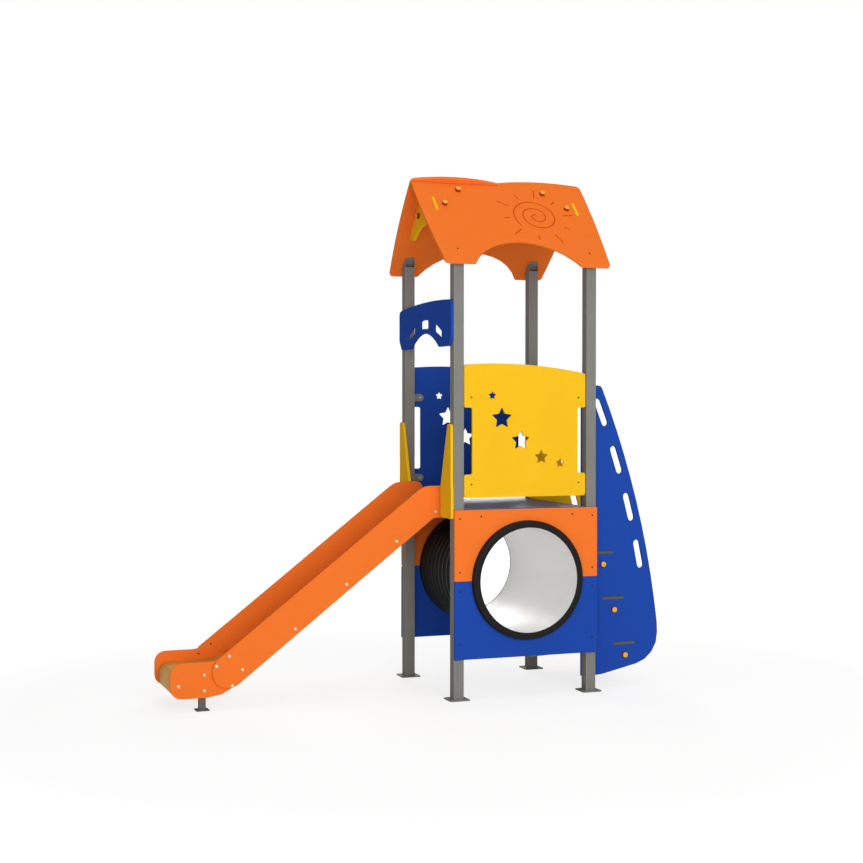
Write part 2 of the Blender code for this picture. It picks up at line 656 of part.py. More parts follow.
def make_guards():
    """Both guards; their outline is drawn from the deck's top."""
    inset = GUARD_SET_IN
    corners = [(0.0, -GUARD_BELOW_DECK, 0.006), (GUARD_WIDTH, -GUARD_BELOW_DECK, 0.006),
               (GUARD_WIDTH, GUARD_SHOULDER, 0.120), (GUARD_TOP_WIDTH, GUARD_TOP, 0.020), (inset, GUARD_TOP, 0.020),
               (inset, GUARD_JOG[1], 0.030), (0.0, GUARD_JOG[0], 0.030)]
    near = new_object("slide_guard_near", slab(rounded(corners, 12), BOARD, BOARD_EDGE), YELLOW)
    mirrored = [(-a, b, r) for a, b, r in reversed(corners)]
    far = new_object("slide_guard_far", slab(rounded(mirrored, 12), BOARD, BOARD_EDGE), YELLOW)
    stand_along(near, -HALF_POST - GAP - BOARD, -HALF_POST, DECK_HEIGHT)
    stand_along(far, -HALF_POST - GAP - BOARD, RIGHT_OUTER, DECK_HEIGHT)
    shade(near)
    shade(far)


# Slide

def slope_x(line, z):
    """X where a sloping line of the slide, given by its height at x = 0, passes height z."""
    return (z - line) / SLIDE_SLOPE


SLIDE_DOWN = Vector((-math.cos(SLIDE_ANGLE), -math.sin(SLIDE_ANGLE)))
SLIDE_UP_FACE = Vector((-math.sin(SLIDE_ANGLE), math.cos(SLIDE_ANGLE)))
SLIDE_BOTTOM_LINE = SLIDE_TOP_LINE - SLIDE_BOARD_DEPTH / math.cos(SLIDE_ANGLE)
CHUTE_LINE = SLIDE_TOP_LINE - CHUTE_DEPTH / math.cos(SLIDE_ANGLE)
KNEE = Vector((slope_x((SLIDE_TOP_LINE + SLIDE_BOTTOM_LINE) / 2, KNEE_HEIGHT), KNEE_HEIGHT))
END_BOARD_FRONT = KNEE.x - END_BOARD_REACH
RUN_OUT_FRONT = END_BOARD_FRONT + RUN_OUT_INSIDE
SIDE_INNER = SLIDE_BOARD_INSET + BOARD
END_INNER = SIDE_INNER + GAP + BOARD


def make_slide_boards():
    half = SLIDE_BOARD_DEPTH / 2
    low_end = KNEE + SLIDE_DOWN * half
    full_round = half * 0.999
    corners = [(HALF_POST, SLIDE_BOARD_BOTTOM, 0.010), (HALF_POST, SLIDE_BOARD_TOP, SLIDE_INNER_CORNER),
               (slope_x(SLIDE_TOP_LINE, SLIDE_BOARD_TOP), SLIDE_BOARD_TOP, SLIDE_TOP_BEND),
               (*(low_end + SLIDE_UP_FACE * half), full_round), (*(low_end - SLIDE_UP_FACE * half), full_round),
               (slope_x(SLIDE_BOTTOM_LINE, SLIDE_BOARD_BOTTOM), SLIDE_BOARD_BOTTOM, 0.040)]
    side = slab(rounded(corners, 18), BOARD, BOARD_EDGE)
    near = new_object("slide_side_near", side, ORANGE)
    far = twin("slide_side_far", near, ORANGE)
    stand_across(near, 0.0, SIDE_INNER, 0.0)
    stand_across(far, 0.0, POST_SPACING - SLIDE_BOARD_INSET, 0.0)

    # the end boards lap the inside of the sides and carry the run-out
    inset = 0.001
    tail = KNEE - SLIDE_DOWN * END_BOARD_TAIL
    bottom_line = SLIDE_BOTTOM_LINE + inset
    top_line = SLIDE_TOP_LINE - inset
    corners = [(END_BOARD_FRONT, END_BOARD_TOP, END_BOARD_NOSE), (END_BOARD_FRONT, END_BOARD_BOTTOM, END_BOARD_NOSE),
               (slope_x(bottom_line, END_BOARD_BOTTOM), END_BOARD_BOTTOM, 0.280),
               (*(tail - SLIDE_UP_FACE * (half - inset)), 0.030), (*(tail + SLIDE_UP_FACE * (half - inset)), 0.030),
               (slope_x(top_line, END_BOARD_TOP), END_BOARD_TOP, 0.060)]
    end = slab(rounded(corners, 18), BOARD, BOARD_EDGE)
    near_end = new_object("slide_end_near", end, ORANGE)
    far_end = twin("slide_end_far", near_end, ORANGE)
    stand_across(near_end, 0.0, END_INNER, 0.0)
    stand_across(far_end, 0.0, POST_SPACING - SIDE_INNER - GAP, 0.0)
    for piece in (near, far, near_end, far_end):
        shade(piece)


def with_stop(line, x):
    """The same line with one more point where it passes x on its way down."""
    for i, (a, b) in enumerate(zip(line, line[1:])):
        if a[0] > x > b[0]:
            share = (a[0] - x) / (a[0] - b[0])
            return line[:i + 1] + [(x, a[1] + (b[1] - a[1]) * share)] + line[i + 1:]
    return line


def make_chute():
    """The steel trough: a floor with folded-down edges, narrower where it lies between the end boards."""
    wide = MIDDLE - SIDE_INNER - GAP
    narrow = MIDDLE - END_INNER - GAP
    corners = [(HALF_POST, DECK_HEIGHT, 0.0), (slope_x(CHUTE_LINE, DECK_HEIGHT), DECK_HEIGHT, CHUTE_TOP_BEND),
               (slope_x(CHUTE_LINE, RUN_OUT_HEIGHT), RUN_OUT_HEIGHT, CHUTE_FOOT_BEND),
               (RUN_OUT_FRONT, RUN_OUT_HEIGHT, CHUTE_ROLL), (RUN_OUT_FRONT, CHUTE_ROLL_BOTTOM, 0.0)]
    narrow_to = KNEE.x + END_BOARD_TAIL + CHUTE_TAPER
    narrow_from = narrow_to + CHUTE_TAPER
    line = with_stop(with_stop(rounded(corners, 40, closed=False), narrow_from), narrow_to)

    bm = bmesh.new()
    rings = []
    for i, (x, z) in enumerate(line):
        before = Vector(line[max(i - 1, 0)])
        after = Vector(line[min(i + 1, len(line) - 1)])
        along = (Vector((x, z)) - before).normalized() + (after - Vector((x, z))).normalized()
        along.normalize()
        up = Vector((along.y, -along.x))
        share = min(max((narrow_from - x) / (narrow_from - narrow_to), 0.0), 1.0)
        half = wide + (narrow - wide) * share
        inner = half - CHUTE_SHEET
        section = [(-half, 0.0), (half, 0.0), (half, -CHUTE_FLANGE), (inner, -CHUTE_FLANGE),
                   (inner, -CHUTE_SHEET), (-inner, -CHUTE_SHEET), (-inner, -CHUTE_FLANGE), (-half, -CHUTE_FLANGE)]
        rings.append([bm.verts.new((x + up.x * d, MIDDLE + w, z + up.y * d)) for w, d in section])
    for ring, following in zip(rings, rings[1:]):
        for k in range(8):
            m = (k + 1) % 8
            bm.faces.new((ring[k], ring[m], following[m], following[k]))
    bm.faces.new(rings[0])
    bm.faces.new(rings[-1])
    shade(new_object("slide_chute", bm, STAINLESS))


def make_slide_feet():
    tube = SLIDE_FOOT_TUBE / 2
    plate = SLIDE_FOOT_PLATE / 2
    for name, side in (("near", -1), ("far", 1)):
        y = MIDDLE + side * (MIDDLE - END_INNER - GAP - tube)
        foot = new_object("slide_foot_" + name, block((-tube, -tube, 0.0), (tube, tube, SLIDE_FOOT_TOP)), ZINC)
        inner = tube - SLIDE_FOOT_WALL
        hollow = block((-inner, -inner, 2 * SLIDE_FOOT_PLATE_THICKNESS), (inner, inner, 2 * SLIDE_FOOT_TOP))
        boolean(foot, tool_from(hollow), "DIFFERENCE")
        low_plate = block((-plate, -plate, 0.0), (plate, plate, SLIDE_FOOT_PLATE_THICKNESS))
        boolean(foot, tool_from(low_plate), "UNION")
        foot.location = (KNEE.x - SLIDE_FOOT_FROM_KNEE, y, 0.0)
        shade(foot)


def make_hangers():
    """Angles that hang the slide's sides on the deck frame, below the chute's folded edge."""
    low = SLIDE_BOARD_BOTTOM + HANGER_CLEARANCE
    high = DECK_HEIGHT - CHUTE_FLANGE - HANGER_CLEARANCE
    for name, side in (("near", -1), ("far", 1)):
        board_face = MIDDLE - SIDE_INNER - GAP
        outline = [(HALF_POST, board_face), (HALF_POST, board_face - HANGER_LEG),
                   (HALF_POST - HANGER_WALL, board_face - HANGER_LEG), (HALF_POST - HANGER_WALL, board_face - HANGER_WALL),
                   (HALF_POST - HANGER_LEG, board_face - HANGER_WALL), (HALF_POST - HANGER_LEG, board_face)]
        bm = slab([(a, side * b) for a, b in outline], high - low)
        hanger = new_object("slide_hanger_" + name, bm, ZINC)
        hanger.location = (0.0, MIDDLE, low)
        shade(hanger)


# Step climber

def tread_places():
    """X and centre height of every tread, from the top one down."""
    places = []
    for k in range(TREAD_COUNT):
        top = DECK_HEIGHT - STEP_RISE * (k + 1)
        places.append((TREAD_FIRST_X + TREAD_STEP_OUT * k, top - TREAD_THICKNESS / 2))
    return places


def make_climber_sides():
    top_edge = (CLIMBER_X + CLIMBER_TOP_REACH, CLIMBER_TOP)
    middle_edge = (CLIMBER_X + CLIMBER_MID[0], DECK_HEIGHT + CLIMBER_MID[1])
    knee = (CLIMBER_X + CLIMBER_KNEE[0], CLIMBER_KNEE[1])
    bow = arc_through(top_edge, middle_edge, knee, 10)
    corners = [(CLIMBER_X, CLIMBER_BOTTOM, 0.010), (CLIMBER_X + CLIMBER_HEEL[0], CLIMBER_HEEL[1], 0.300),
               (CLIMBER_X + CLIMBER_TOE[0], CLIMBER_TOE[1], CLIMBER_TOE_CORNER), (*knee, 0.0)]
    corners += [(a, b, 0.0) for a, b in reversed(bow)]
    corners += [(*top_edge, CLIMBER_TOP_CORNER), (CLIMBER_X, CLIMBER_TOP, 0.010)]
    near = new_object("climber_side_near", slab(rounded(corners, 20), BOARD, BOARD_EDGE), BLUE)

    # hand slots follow the bowed edge
    centre, radius = circle_through(top_edge, middle_edge, knee)
    for k in range(SLOT_COUNT):
        z = DECK_HEIGHT + SLOT_TOP_ABOVE_DECK - SLOT_PITCH * k
        track = radius - SLOT_EDGE
        x = centre.x + math.sqrt(track * track - (z - centre.y) ** 2)
        out = Vector((x - centre.x, z - centre.y)).normalized()
        along = Vector((-out.y, out.x))
        straight = (SLOT_LENGTH - SLOT_WIDTH) / 2
        outline = []
        for end in (-1, 1):
            middle = Vector((x, z)) + along * straight * end
            for m in range(SLOT_END_STEPS + 1):
                turn = math.pi * m / SLOT_END_STEPS
                spoke = out * math.cos(turn) * -end + along * math.sin(turn) * end
                outline.append(tuple(middle + spoke * SLOT_WIDTH / 2))
        cut_through(near, outline, BOARD)
    for x, z in tread_places():
        wide = TENON_WIDTH / 2 + SLIP
        tall = TREAD_THICKNESS / 2 + SLIP
        cut_through(near, [(x - wide, z - tall), (x + wide, z - tall), (x + wide, z + tall), (x - wide, z + tall)], BOARD)
        cut_through(near, circle((x, z - ROD_BELOW_TREAD), ROD_DIAMETER / 2 + SLIP, ROD_STEPS), BOARD)
    far = twin("climber_side_far", near, YELLOW)
    stand_across(near, 0.0, HALF_POST + GAP + BOARD, 0.0)
    stand_across(far, 0.0, POST_SPACING - HALF_POST - GAP, 0.0)
    shade(near)
    shade(far)


def make_treads():
    outer = MIDDLE - HALF_POST - GAP
    inner = outer - BOARD - GAP
    end = outer + TENON_PROUD
    deep = TREAD_DEPTH / 2
    wide = TENON_WIDTH / 2
    for k, (x, z) in enumerate(tread_places(), start=1):
        corners = [(-deep, -inner, TREAD_CORNER), (-wide, -inner, 0.0), (-wide, -end, 0.0), (wide, -end, 0.0),
                   (wide, -inner, 0.0), (deep, -inner, TREAD_CORNER), (deep, inner, TREAD_CORNER), (wide, inner, 0.0),
                   (wide, end, 0.0), (-wide, end, 0.0), (-wide, inner, 0.0), (-deep, inner, TREAD_CORNER)]
        tread = new_object("tread_" + str(k), slab(rounded(corners, 12), TREAD_THICKNESS), DARK_TREAD)
        tread.location = (x, MIDDLE, z - TREAD_THICKNESS / 2)
        shade(tread)

        rod_profile = [(0.0, -outer), (ROD_DIAMETER / 2, -outer), (ROD_DIAMETER / 2, outer), (0.0, outer)]
        rod = new_object("tread_rod_" + str(k), turned(rod_profile, ROD_STEPS, closed=False), ZINC)
        rod.location = (x, MIDDLE, z - ROD_BELOW_TREAD)
        rod.rotation_euler = (math.pi / 2, 0.0, 0.0)
        shade(rod)
        make_cap("tread_cap_near_" + str(k), (x, MIDDLE - outer - GAP, z - ROD_BELOW_TREAD), (math.pi / 2, 0.0, 0.0))
        make_cap("tread_cap_far_" + str(k), (x, MIDDLE + outer + GAP, z - ROD_BELOW_TREAD), (-math.pi / 2, 0.0, 0.0))


def make_cap(name, place, turn):
    """A round cap over a bolt, standing on its local XY plane."""
    radius = CAP_DIAMETER / 2
    profile = [(0.0, 0.0), (radius, 0.0), (radius, CAP_LENGTH - CAP_ROUND), (radius - CAP_ROUND, CAP_LENGTH),
               (0.0, CAP_LENGTH)]
    cap = new_object(name, turned(profile, ROD_STEPS, closed=False), RED)
    cap.location = place
    cap.rotation_euler = turn
    shade(cap)


# Roof

def in_gable(s, depth):
    """Y from the middle and height of a point s down the roof's outer face and depth below that face."""
    return (s * math.cos(ROOF_PITCH) - depth * math.sin(ROOF_PITCH),
            RIDGE_HEIGHT - s * math.sin(ROOF_PITCH) - depth * math.cos(ROOF_PITCH))


def make_roof_boards():
    """One board drawn flat with its ridge along local X and its feet towards -Y, and its twin turned round."""
    side = [(ROOF_TOP_HALF, 0.0), (ROOF_MID[0], -ROOF_MID[1]), (ROOF_LOW[0], -ROOF_LOW[1])]
    bow = arc_through(*side, 6)
    centre = -ROOF_ARCH_TOP - ROOF_ARCH_RADIUS
    arch_half = math.sqrt(ROOF_ARCH_RADIUS ** 2 - (centre + ROOF_LENGTH) ** 2)
    reach = math.asin(arch_half / ROOF_ARCH_RADIUS)
    steps = 12
    arch = []
    for k in range(1, steps):
        turn = reach - 2 * reach * k / steps
        arch.append((ROOF_ARCH_RADIUS * math.sin(turn), centre + ROOF_ARCH_RADIUS * math.cos(turn), 0.0))
    step_x = 2 * SLIP
    crest = arc_through((step_x, CREST_START), (CREST_HIGH_AT, CREST_HEIGHT), (ROOF_TOP_HALF, CREST_END), 8)

    corners = [(-ROOF_TOP_HALF, -CREST_SINK, ROOF_SUNK_CORNER)]
    corners += [(-a, b, 0.0) for a, b in bow if b < -2 * CREST_SINK]
    corners += [(-ROOF_LOW[0], -ROOF_LOW[1], 0.0), (-ROOF_FOOT_HALF, -ROOF_LENGTH, ROOF_FOOT_CORNER),
                (-arch_half, -ROOF_LENGTH, ROOF_ARCH_CORNER)]
    corners += [(-a, b, r) for a, b, r in arch]
    corners += [(arch_half, -ROOF_LENGTH, ROOF_ARCH_CORNER), (ROOF_FOOT_HALF, -ROOF_LENGTH, ROOF_FOOT_CORNER),
                (ROOF_LOW[0], -ROOF_LOW[1], 0.0)]
    corners += [(a, b, 0.0) for a, b in reversed(bow)]
    corners += [(ROOF_TOP_HALF, CREST_END, ROOF_SIDE_CORNER)]
    corners += [(a, b, 0.0) for a, b in reversed(crest)]
    corners += [(step_x, CREST_START, 0.0), (step_x, -CREST_SINK, 0.0)]
    front = new_object("roof_board_front", slab(rounded(corners, 12), BOARD, BOARD_EDGE), ORANGE)
    wide = BOARD / 2 + SLIP
    for x in (-BRACE_FROM_CENTRE, BRACE_FROM_CENTRE):
        low = -BRACE_TENON[1] - SLIP
        high = -BRACE_TENON[0] + SLIP
        cut_through(front, [(x - wide, low), (x + wide, low), (x + wide, high), (x - wide, high)], BOARD)
    back = twin("roof_board_back", front, ORANGE)
    y, z = in_gable(0.0, BOARD)
    front.location = (MIDDLE, MIDDLE - y, z)
    front.rotation_euler = (ROOF_PITCH, 0.0, 0.0)
    back.location = (MIDDLE, MIDDLE + y, z)
    back.rotation_euler = (ROOF_PITCH, 0.0, math.pi)
    shade(front)
    shade(back)


def make_gable_braces():
    under = BOARD + GAP
    feet = RIDGE_HEIGHT - BRACE_FEET_BELOW_RIDGE
    crown = RIDGE_HEIGHT - BRACE_CROWN_BELOW_RIDGE
    foot_s = (RIDGE_HEIGHT - feet - under * math.cos(ROOF_PITCH)) / math.sin(ROOF_PITCH)
    half_outline = [(*in_gable(BRACE_TOP, under), 0.006), (*in_gable(BRACE_TENON[0], under), 0.0),
                    (*in_gable(BRACE_TENON[0], -BRACE_TENON_PROUD), 0.0), (*in_gable(BRACE_TENON[1], -BRACE_TENON_PROUD), 0.0),
                    (*in_gable(BRACE_TENON[1], under), 0.0), (*in_gable(foot_s, under), BRACE_TOE_CORNER),
                    (BRACE_ARCH_HALF, feet, 0.020)]
    arch = arc_through((BRACE_ARCH_HALF, feet), (0.0, crown), (-BRACE_ARCH_HALF, feet), 10)
    half_outline += [(a, b, 0.0) for a, b in arch if a > 1e-6]
    outline = half_outline + [(0.0, crown, 0.0)] + [(-a, b, r) for a, b, r in reversed(half_outline)]
    for name, x in (("left", MIDDLE - BRACE_FROM_CENTRE), ("right", MIDDLE + BRACE_FROM_CENTRE)):
        brace = new_object("gable_brace_" + name, slab(rounded(outline, 16), BOARD), YELLOW)
        stand_along(brace, x - BOARD / 2, MIDDLE, 0.0)
        shade(brace)
    face = BRACE_FROM_CENTRE + BOARD / 2 + GAP
    height = RIDGE_HEIGHT - BRACE_CAP[1]
    for end, y in (("", MIDDLE + BRACE_CAP[0]), ("_front", MIDDLE - BRACE_CAP[0])):
        make_cap("brace_cap_left" + end, (MIDDLE - face, y, height), (0.0, -math.pi / 2, 0.0))
        make_cap("brace_cap_right" + end, (MIDDLE + face, y, height), (0.0, math.pi / 2, 0.0))


def make_ridge_plates():
    under = BOARD + GAP
    inner = under + RIDGE_PLATE
    outline = [(0.0, in_apex(under)), in_gable(RIDGE_PLATE_LEG, under), in_gable(RIDGE_PLATE_LEG, inner), (0.0, in_apex(inner))]
    y, z = in_gable(RIDGE_PLATE_LEG, inner)
    outline.append((-y, z))
    y, z = in_gable(RIDGE_PLATE_LEG, under)
    outline.append((-y, z))
    width = RIDGE_PLATE_SPAN[1] - RIDGE_PLATE_SPAN[0]
    for name, x in (("left", MIDDLE - RIDGE_PLATE_SPAN[1]), ("right", MIDDLE + RIDGE_PLATE_SPAN[0])):
        plate = new_object("ridge_plate_" + name, slab(outline, width), ZINC)
        stand_along(plate, x, MIDDLE, 0.0)
        shade(plate)


def in_apex(depth):
    """Height where the two planes depth under the roof's faces meet."""
    return RIDGE_HEIGHT - depth / math.cos(ROOF_PITCH)


def make_roof_caps():
    for side, sign, turn in (("front", -1, ROOF_PITCH), ("back", 1, -ROOF_PITCH)):
        for k, (from_centre, s) in enumerate(ROOF_CAPS, start=1):
            y, z = in_gable(s, -GAP)
            for hand, x in (("left", MIDDLE - from_centre), ("right", MIDDLE + from_centre)):
                make_cap("roof_cap_" + side + "_" + hand + "_" + str(k), (x, MIDDLE + sign * y, z), (turn, 0.0, 0.0))


def make_all():
    remove_all_objects()
    for name, x, y, inward, outward in (("post_front_left", 0.0, 0.0, 1, -1),
                                        ("post_front_right", POST_SPACING, 0.0, -1, -1),
                                        ("post_back_left", 0.0, POST_SPACING, 1, 1),
                                        ("post_back_right", POST_SPACING, POST_SPACING, -1, 1)):
        make_post(name, x, y, inward, outward)
    make_deck()
    make_lower_panels()
    make_tunnel()
    make_barriers()
    make_entry_arch()
    make_guards()
    make_slide_boards()
    make_chute()
    make_slide_feet()
    make_hangers()
    make_climber_sides()
    make_treads()
    make_roof_boards()
    make_gable_braces()
    make_ridge_plates()
    make_roof_caps()


make_all()
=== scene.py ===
# Playground tower with roof, slide, crawl tunnel and step climber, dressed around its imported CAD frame.
import math

import bmesh
import bpy
from mathutils import Matrix, Vector


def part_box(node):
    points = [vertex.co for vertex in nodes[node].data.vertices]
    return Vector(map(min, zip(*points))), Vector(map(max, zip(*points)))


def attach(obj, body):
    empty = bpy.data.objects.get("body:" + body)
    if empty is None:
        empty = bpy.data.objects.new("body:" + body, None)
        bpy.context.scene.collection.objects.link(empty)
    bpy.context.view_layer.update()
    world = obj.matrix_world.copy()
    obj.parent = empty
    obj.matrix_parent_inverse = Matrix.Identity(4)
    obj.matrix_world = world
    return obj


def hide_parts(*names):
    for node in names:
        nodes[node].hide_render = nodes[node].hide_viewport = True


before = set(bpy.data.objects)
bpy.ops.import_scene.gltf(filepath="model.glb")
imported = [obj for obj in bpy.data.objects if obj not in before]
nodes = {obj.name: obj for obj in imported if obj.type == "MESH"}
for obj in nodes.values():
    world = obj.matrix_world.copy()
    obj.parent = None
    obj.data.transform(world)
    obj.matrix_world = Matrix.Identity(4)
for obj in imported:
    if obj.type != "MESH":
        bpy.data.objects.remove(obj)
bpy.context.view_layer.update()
print("frame loaded:", len(nodes), "nodes")

samePoint = 1e-5             # metres within which two drawn points are one

# ground plan shared by the pieces, in metres
tower = {
    "middle": 0.457,          # centre of the square of posts, in X and in Y
    "frontFace": -0.0533,     # outer face of the front panels
    "backFace": 0.9673,
    "postRight": 0.914,
}


# selecting and finishing

def clearSelection():
    if bpy.context.object and bpy.context.object.mode != "OBJECT":
        bpy.ops.object.mode_set(mode="OBJECT")
    bpy.ops.object.select_all(action="DESELECT")


def pick(piece):
    clearSelection()
    piece.select_set(True)
    bpy.context.view_layer.objects.active = piece


def editAll(piece):
    pick(piece)
    bpy.ops.object.mode_set(mode="EDIT")
    bpy.ops.mesh.select_mode(type="VERT")
    bpy.ops.mesh.select_all(action="SELECT")


def chooseFaces(piece, wanted):
    # in edit mode: selects the faces that the test wants
    mesh = bmesh.from_edit_mesh(piece.data)
    for face in mesh.faces:
        face.select_set(bool(wanted(face)))
    bmesh.update_edit_mesh(piece.data)


def chooseVertices(piece, wanted):
    # in edit mode: selects the vertices whose place the test wants
    mesh = bmesh.from_edit_mesh(piece.data)
    for vertex in mesh.verts:
        vertex.select_set(bool(wanted(vertex.co)))
    mesh.select_flush(True)
    bmesh.update_edit_mesh(piece.data)


def applyModifier(piece, kind, **settings):
    pick(piece)
    made = piece.modifiers.new(kind.title(), kind)
    for setting, value in settings.items():
        setattr(made, setting, value)
    bpy.ops.object.modifier_apply(modifier=made.name)


def finishPiece(piece, name, material, replaced=(), smooth=34):
    # without a material the piece keeps its own
    pick(piece)
    bpy.ops.object.transform_apply(location=True, rotation=True, scale=True)
    bpy.ops.object.shade_smooth_by_angle(angle=math.radians(smooth))
    piece.name = piece.data.name = name
    if material:
        piece.data.materials.clear()
        piece.data.materials.append(material)
    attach(piece, "root")
    if replaced:
        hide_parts(*replaced)


def drawLine(points):
    # one vertex is extruded from point to point, and the line is left selected in edit mode
    clearSelection()
    bpy.ops.mesh.primitive_plane_add(size=0.01, location=(0, 0, 0))
    piece = bpy.context.object
    editAll(piece)
    bpy.ops.mesh.merge(type="CENTER")
    bpy.ops.transform.translate(value=points[0])
    for start, end in zip(points, points[1:]):
        bpy.ops.mesh.extrude_vertices_move(TRANSFORM_OT_translate={"value": end - start})
    bpy.ops.mesh.select_all(action="SELECT")
    return piece


def turnedPiece(profile, centre, axis, side, steps):
    # the profile of (radius, distance) points is drawn beside the axis and spun round it
    axis, side, centre = Vector(axis), Vector(side), Vector(centre)
    piece = drawLine([centre + side * radius + axis * along for radius, along in profile])
    bpy.ops.mesh.spin(steps=steps, angle=2 * math.pi, center=centre, axis=axis)
    bpy.ops.mesh.select_all(action="SELECT")
    bpy.ops.mesh.remove_doubles(threshold=samePoint)
    bpy.ops.mesh.normals_make_consistent(inside=False)
    bpy.ops.object.mode_set(mode="OBJECT")
    return piece


def placeCopies(master, name, places, material, replaced=()):
    # a master stands on the floor at the origin, and each place is (point, direction that its top faces)
    made = []
    for point, facing in places:
        copy = master.copy()
        copy.data = master.data.copy()
        bpy.context.scene.collection.objects.link(copy)
        turn = Vector((0, 0, 1)).rotation_difference(Vector(facing)).to_matrix().to_4x4()
        copy.data.transform(Matrix.Translation(Vector(point)) @ turn)
        made.append(copy)
    pick(made[0])
    for copy in made:
        copy.select_set(True)
    if len(made) > 1:
        bpy.ops.object.join()
    finishPiece(made[0], name, material, replaced)


# materials

def toLinear(hexColour):
    values = [int(hexColour[i:i + 2], 16) / 255 for i in (1, 3, 5)]
    return tuple(v / 12.92 if v <= 0.04045 else ((v + 0.055) / 1.055) ** 2.4 for v in values) + (1.0,)


def perMetre(millimetres):
    # how often a pattern repeats in a metre, for the Scale of a texture on Object coordinates
    return 1000.0 / millimetres


def shaded(hexColour, share):
    # the same colour, lighter above 1 and darker below it
    linear = toLinear(hexColour)
    return tuple(min(v * share, 1.0) for v in linear[:3]) + (1.0,)


def addNode(material, kind, sockets=None, **settings):
    made = material.node_tree.nodes.new(kind)
    for setting, value in settings.items():
        setattr(made, setting, value)
    for socket, value in (sockets or {}).items():
        if isinstance(value, bpy.types.NodeSocket):
            material.node_tree.links.new(value, made.inputs[socket])
        else:
            made.inputs[socket].default_value = value
    return made


def noise(material, place, spacing, detail, roughness=0.5):
    # a cloudy pattern from 0 to 1 whose patches are spacing mm apart
    sockets = {"Vector": place, "Scale": perMetre(spacing), "Detail": detail, "Roughness": roughness}
    return addNode(material, "ShaderNodeTexNoise", sockets).outputs["Fac"]


def blend(material, share, first, second):
    return addNode(material, "ShaderNodeMix", {0: share, 6: first, 7: second}, data_type="RGBA").outputs[2]


def tinted(material, share, hexColour, tint):
    # the colour between the darker and the lighter of its two tints
    return blend(material, share, shaded(hexColour, tint[0]), shaded(hexColour, tint[1]))


def combine(material, operation, first, second):
    return addNode(material, "ShaderNodeMath", {0: first, 1: second}, operation=operation).outputs[0]


def spread(material, value, ends, reach=(0.0, 1.0)):
    # lays the reach that a value runs over onto the two ends
    sockets = {"Value": value, "From Min": reach[0], "From Max": reach[1],
               "To Min": ends[0], "To Max": ends[1]}
    return addNode(material, "ShaderNodeMapRange", sockets).outputs["Result"]


def onObject(material):
    return addNode(material, "ShaderNodeTexCoord").outputs["Object"]


def rubbedRim(material, rub):
    # how far a rounded rim is painted paler, partly as rub wear and partly as painted highlight, from the
    # attribute that dressCopy writes
    rim = addNode(material, "ShaderNodeAttribute", attribute_name="rimRub").outputs["Fac"]
    return combine(material, "MULTIPLY", rim, rub)


def newMaterial(name, ior=None, metallic=0.0, specular=0.5):
    material = bpy.data.materials.new(name)
    material.use_nodes = True
    shader = material.node_tree.nodes["Principled BSDF"]
    shader.inputs["Metallic"].default_value = metallic
    shader.inputs["Specular IOR Level"].default_value = specular
    if ior:
        shader.inputs["IOR"].default_value = ior
    return material


def wireUp(material, colour, roughness, height, relief):
    # joins a colour, a roughness and a height to the shader; relief is the depth in metres and the strength
    shader = material.node_tree.nodes["Principled BSDF"]
    depth, strength = relief
    bump = addNode(material, "ShaderNodeBump", {"Strength": strength, "Distance": depth, "Height": height})
    outputs = {"Base Color": colour, "Roughness": roughness, "Normal": bump.outputs["Normal"]}
    for socket, output in outputs.items():
        material.node_tree.links.new(output, shader.inputs[socket])
    return material


boardFinish = {
    "yellow": "#F7C123",
    "orange": "#F67A2F",
    "blue": "#234BAA",
    "orangeCut": "#E85E1E",      # darker than the board: painted shade inside the routed grooves
    "tint": (0.94, 1.06),        # how far the pigment drifts
    "rimTint": 1.35,             # rims made paler: rub wear and painted highlight
    # the routed grooves are darkened by these shares, as painted shade
    "cutTint": (0.80, 0.95),
    "pebble": 3.0,               # mm, the real grain is about 1 mm and is drawn coarser so that it shows
    "drift": 380.0,              # mm over which the pigment changes a little
    "rub": 60.0,                 # mm between faint rub marks
    "rubReach": (0.3, 0.7),
    "toolMark": 2.0,             # mm
    "roughness": (0.48, 0.62),
    "cutRoughness": (0.55, 0.75),
    "relief": (0.00025, 0.35),
    "cutRelief": (0.0002, 0.4),
    "ior": 1.54,
    "specular": 0.006,           # the pebbled skin scatters most of the gloss
}


def hdpeBoard(name, hexColour):
    # HDPE, high-density polyethylene, pressed with a fine pebble: soft sheen, even colour, rims painted paler
    # as rub wear and as painted highlight
    finish = boardFinish
    material = newMaterial(name, ior=finish["ior"], specular=finish["specular"])
    place = onObject(material)
    drift = noise(material, place, finish["drift"], detail=3.0, roughness=0.6)
    rub = noise(material, place, finish["rub"], detail=8.0, roughness=0.75)
    pebble = noise(material, place, finish["pebble"], detail=2.0)
    body = tinted(material, drift, hexColour, finish["tint"])
    pale = blend(material, rubbedRim(material, rub), body, shaded(hexColour, finish["rimTint"]))
    sheen = spread(material, rub, finish["roughness"], finish["rubReach"])
    return wireUp(material, pale, sheen, pebble, finish["relief"])


def routedBoard(name, hexColour):
    # the same HDPE where a router has cut it: duller, with fine tool marks across the groove, and its colour
    # darkened as painted shade inside the groove
    finish = boardFinish
    material = newMaterial(name, ior=finish["ior"], specular=finish["specular"])
    marks = noise(material, onObject(material), finish["toolMark"], detail=4.0)
    tone = tinted(material, marks, hexColour, finish["cutTint"])
    dull = spread(material, marks, finish["cutRoughness"])
    return wireUp(material, tone, dull, marks, finish["cutRelief"])


postFinish = {
    "colour": "#84837E",
    "footColour": "#6B6966",     # the slide's feet
    "tint": (0.90, 1.08),
    "fleckTint": 1.5,
    "rimTint": 1.45,             # corners made paler: rub wear and painted highlight
    "peel": 2.2,                 # mm, orange peel of the powder, drawn coarser than the real 0.8 mm
    "cloud": 260.0,              # mm
    "fleck": 1.6,                # mm
    "fleckReach": (0.58, 0.72),  # only the pattern's peaks are flecks
    "fleckShare": 0.35,
    "roughness": (0.42, 0.56),
    "relief": (0.0002, 0.4),
    "ior": 1.5,
    "specular": 0.015,
}


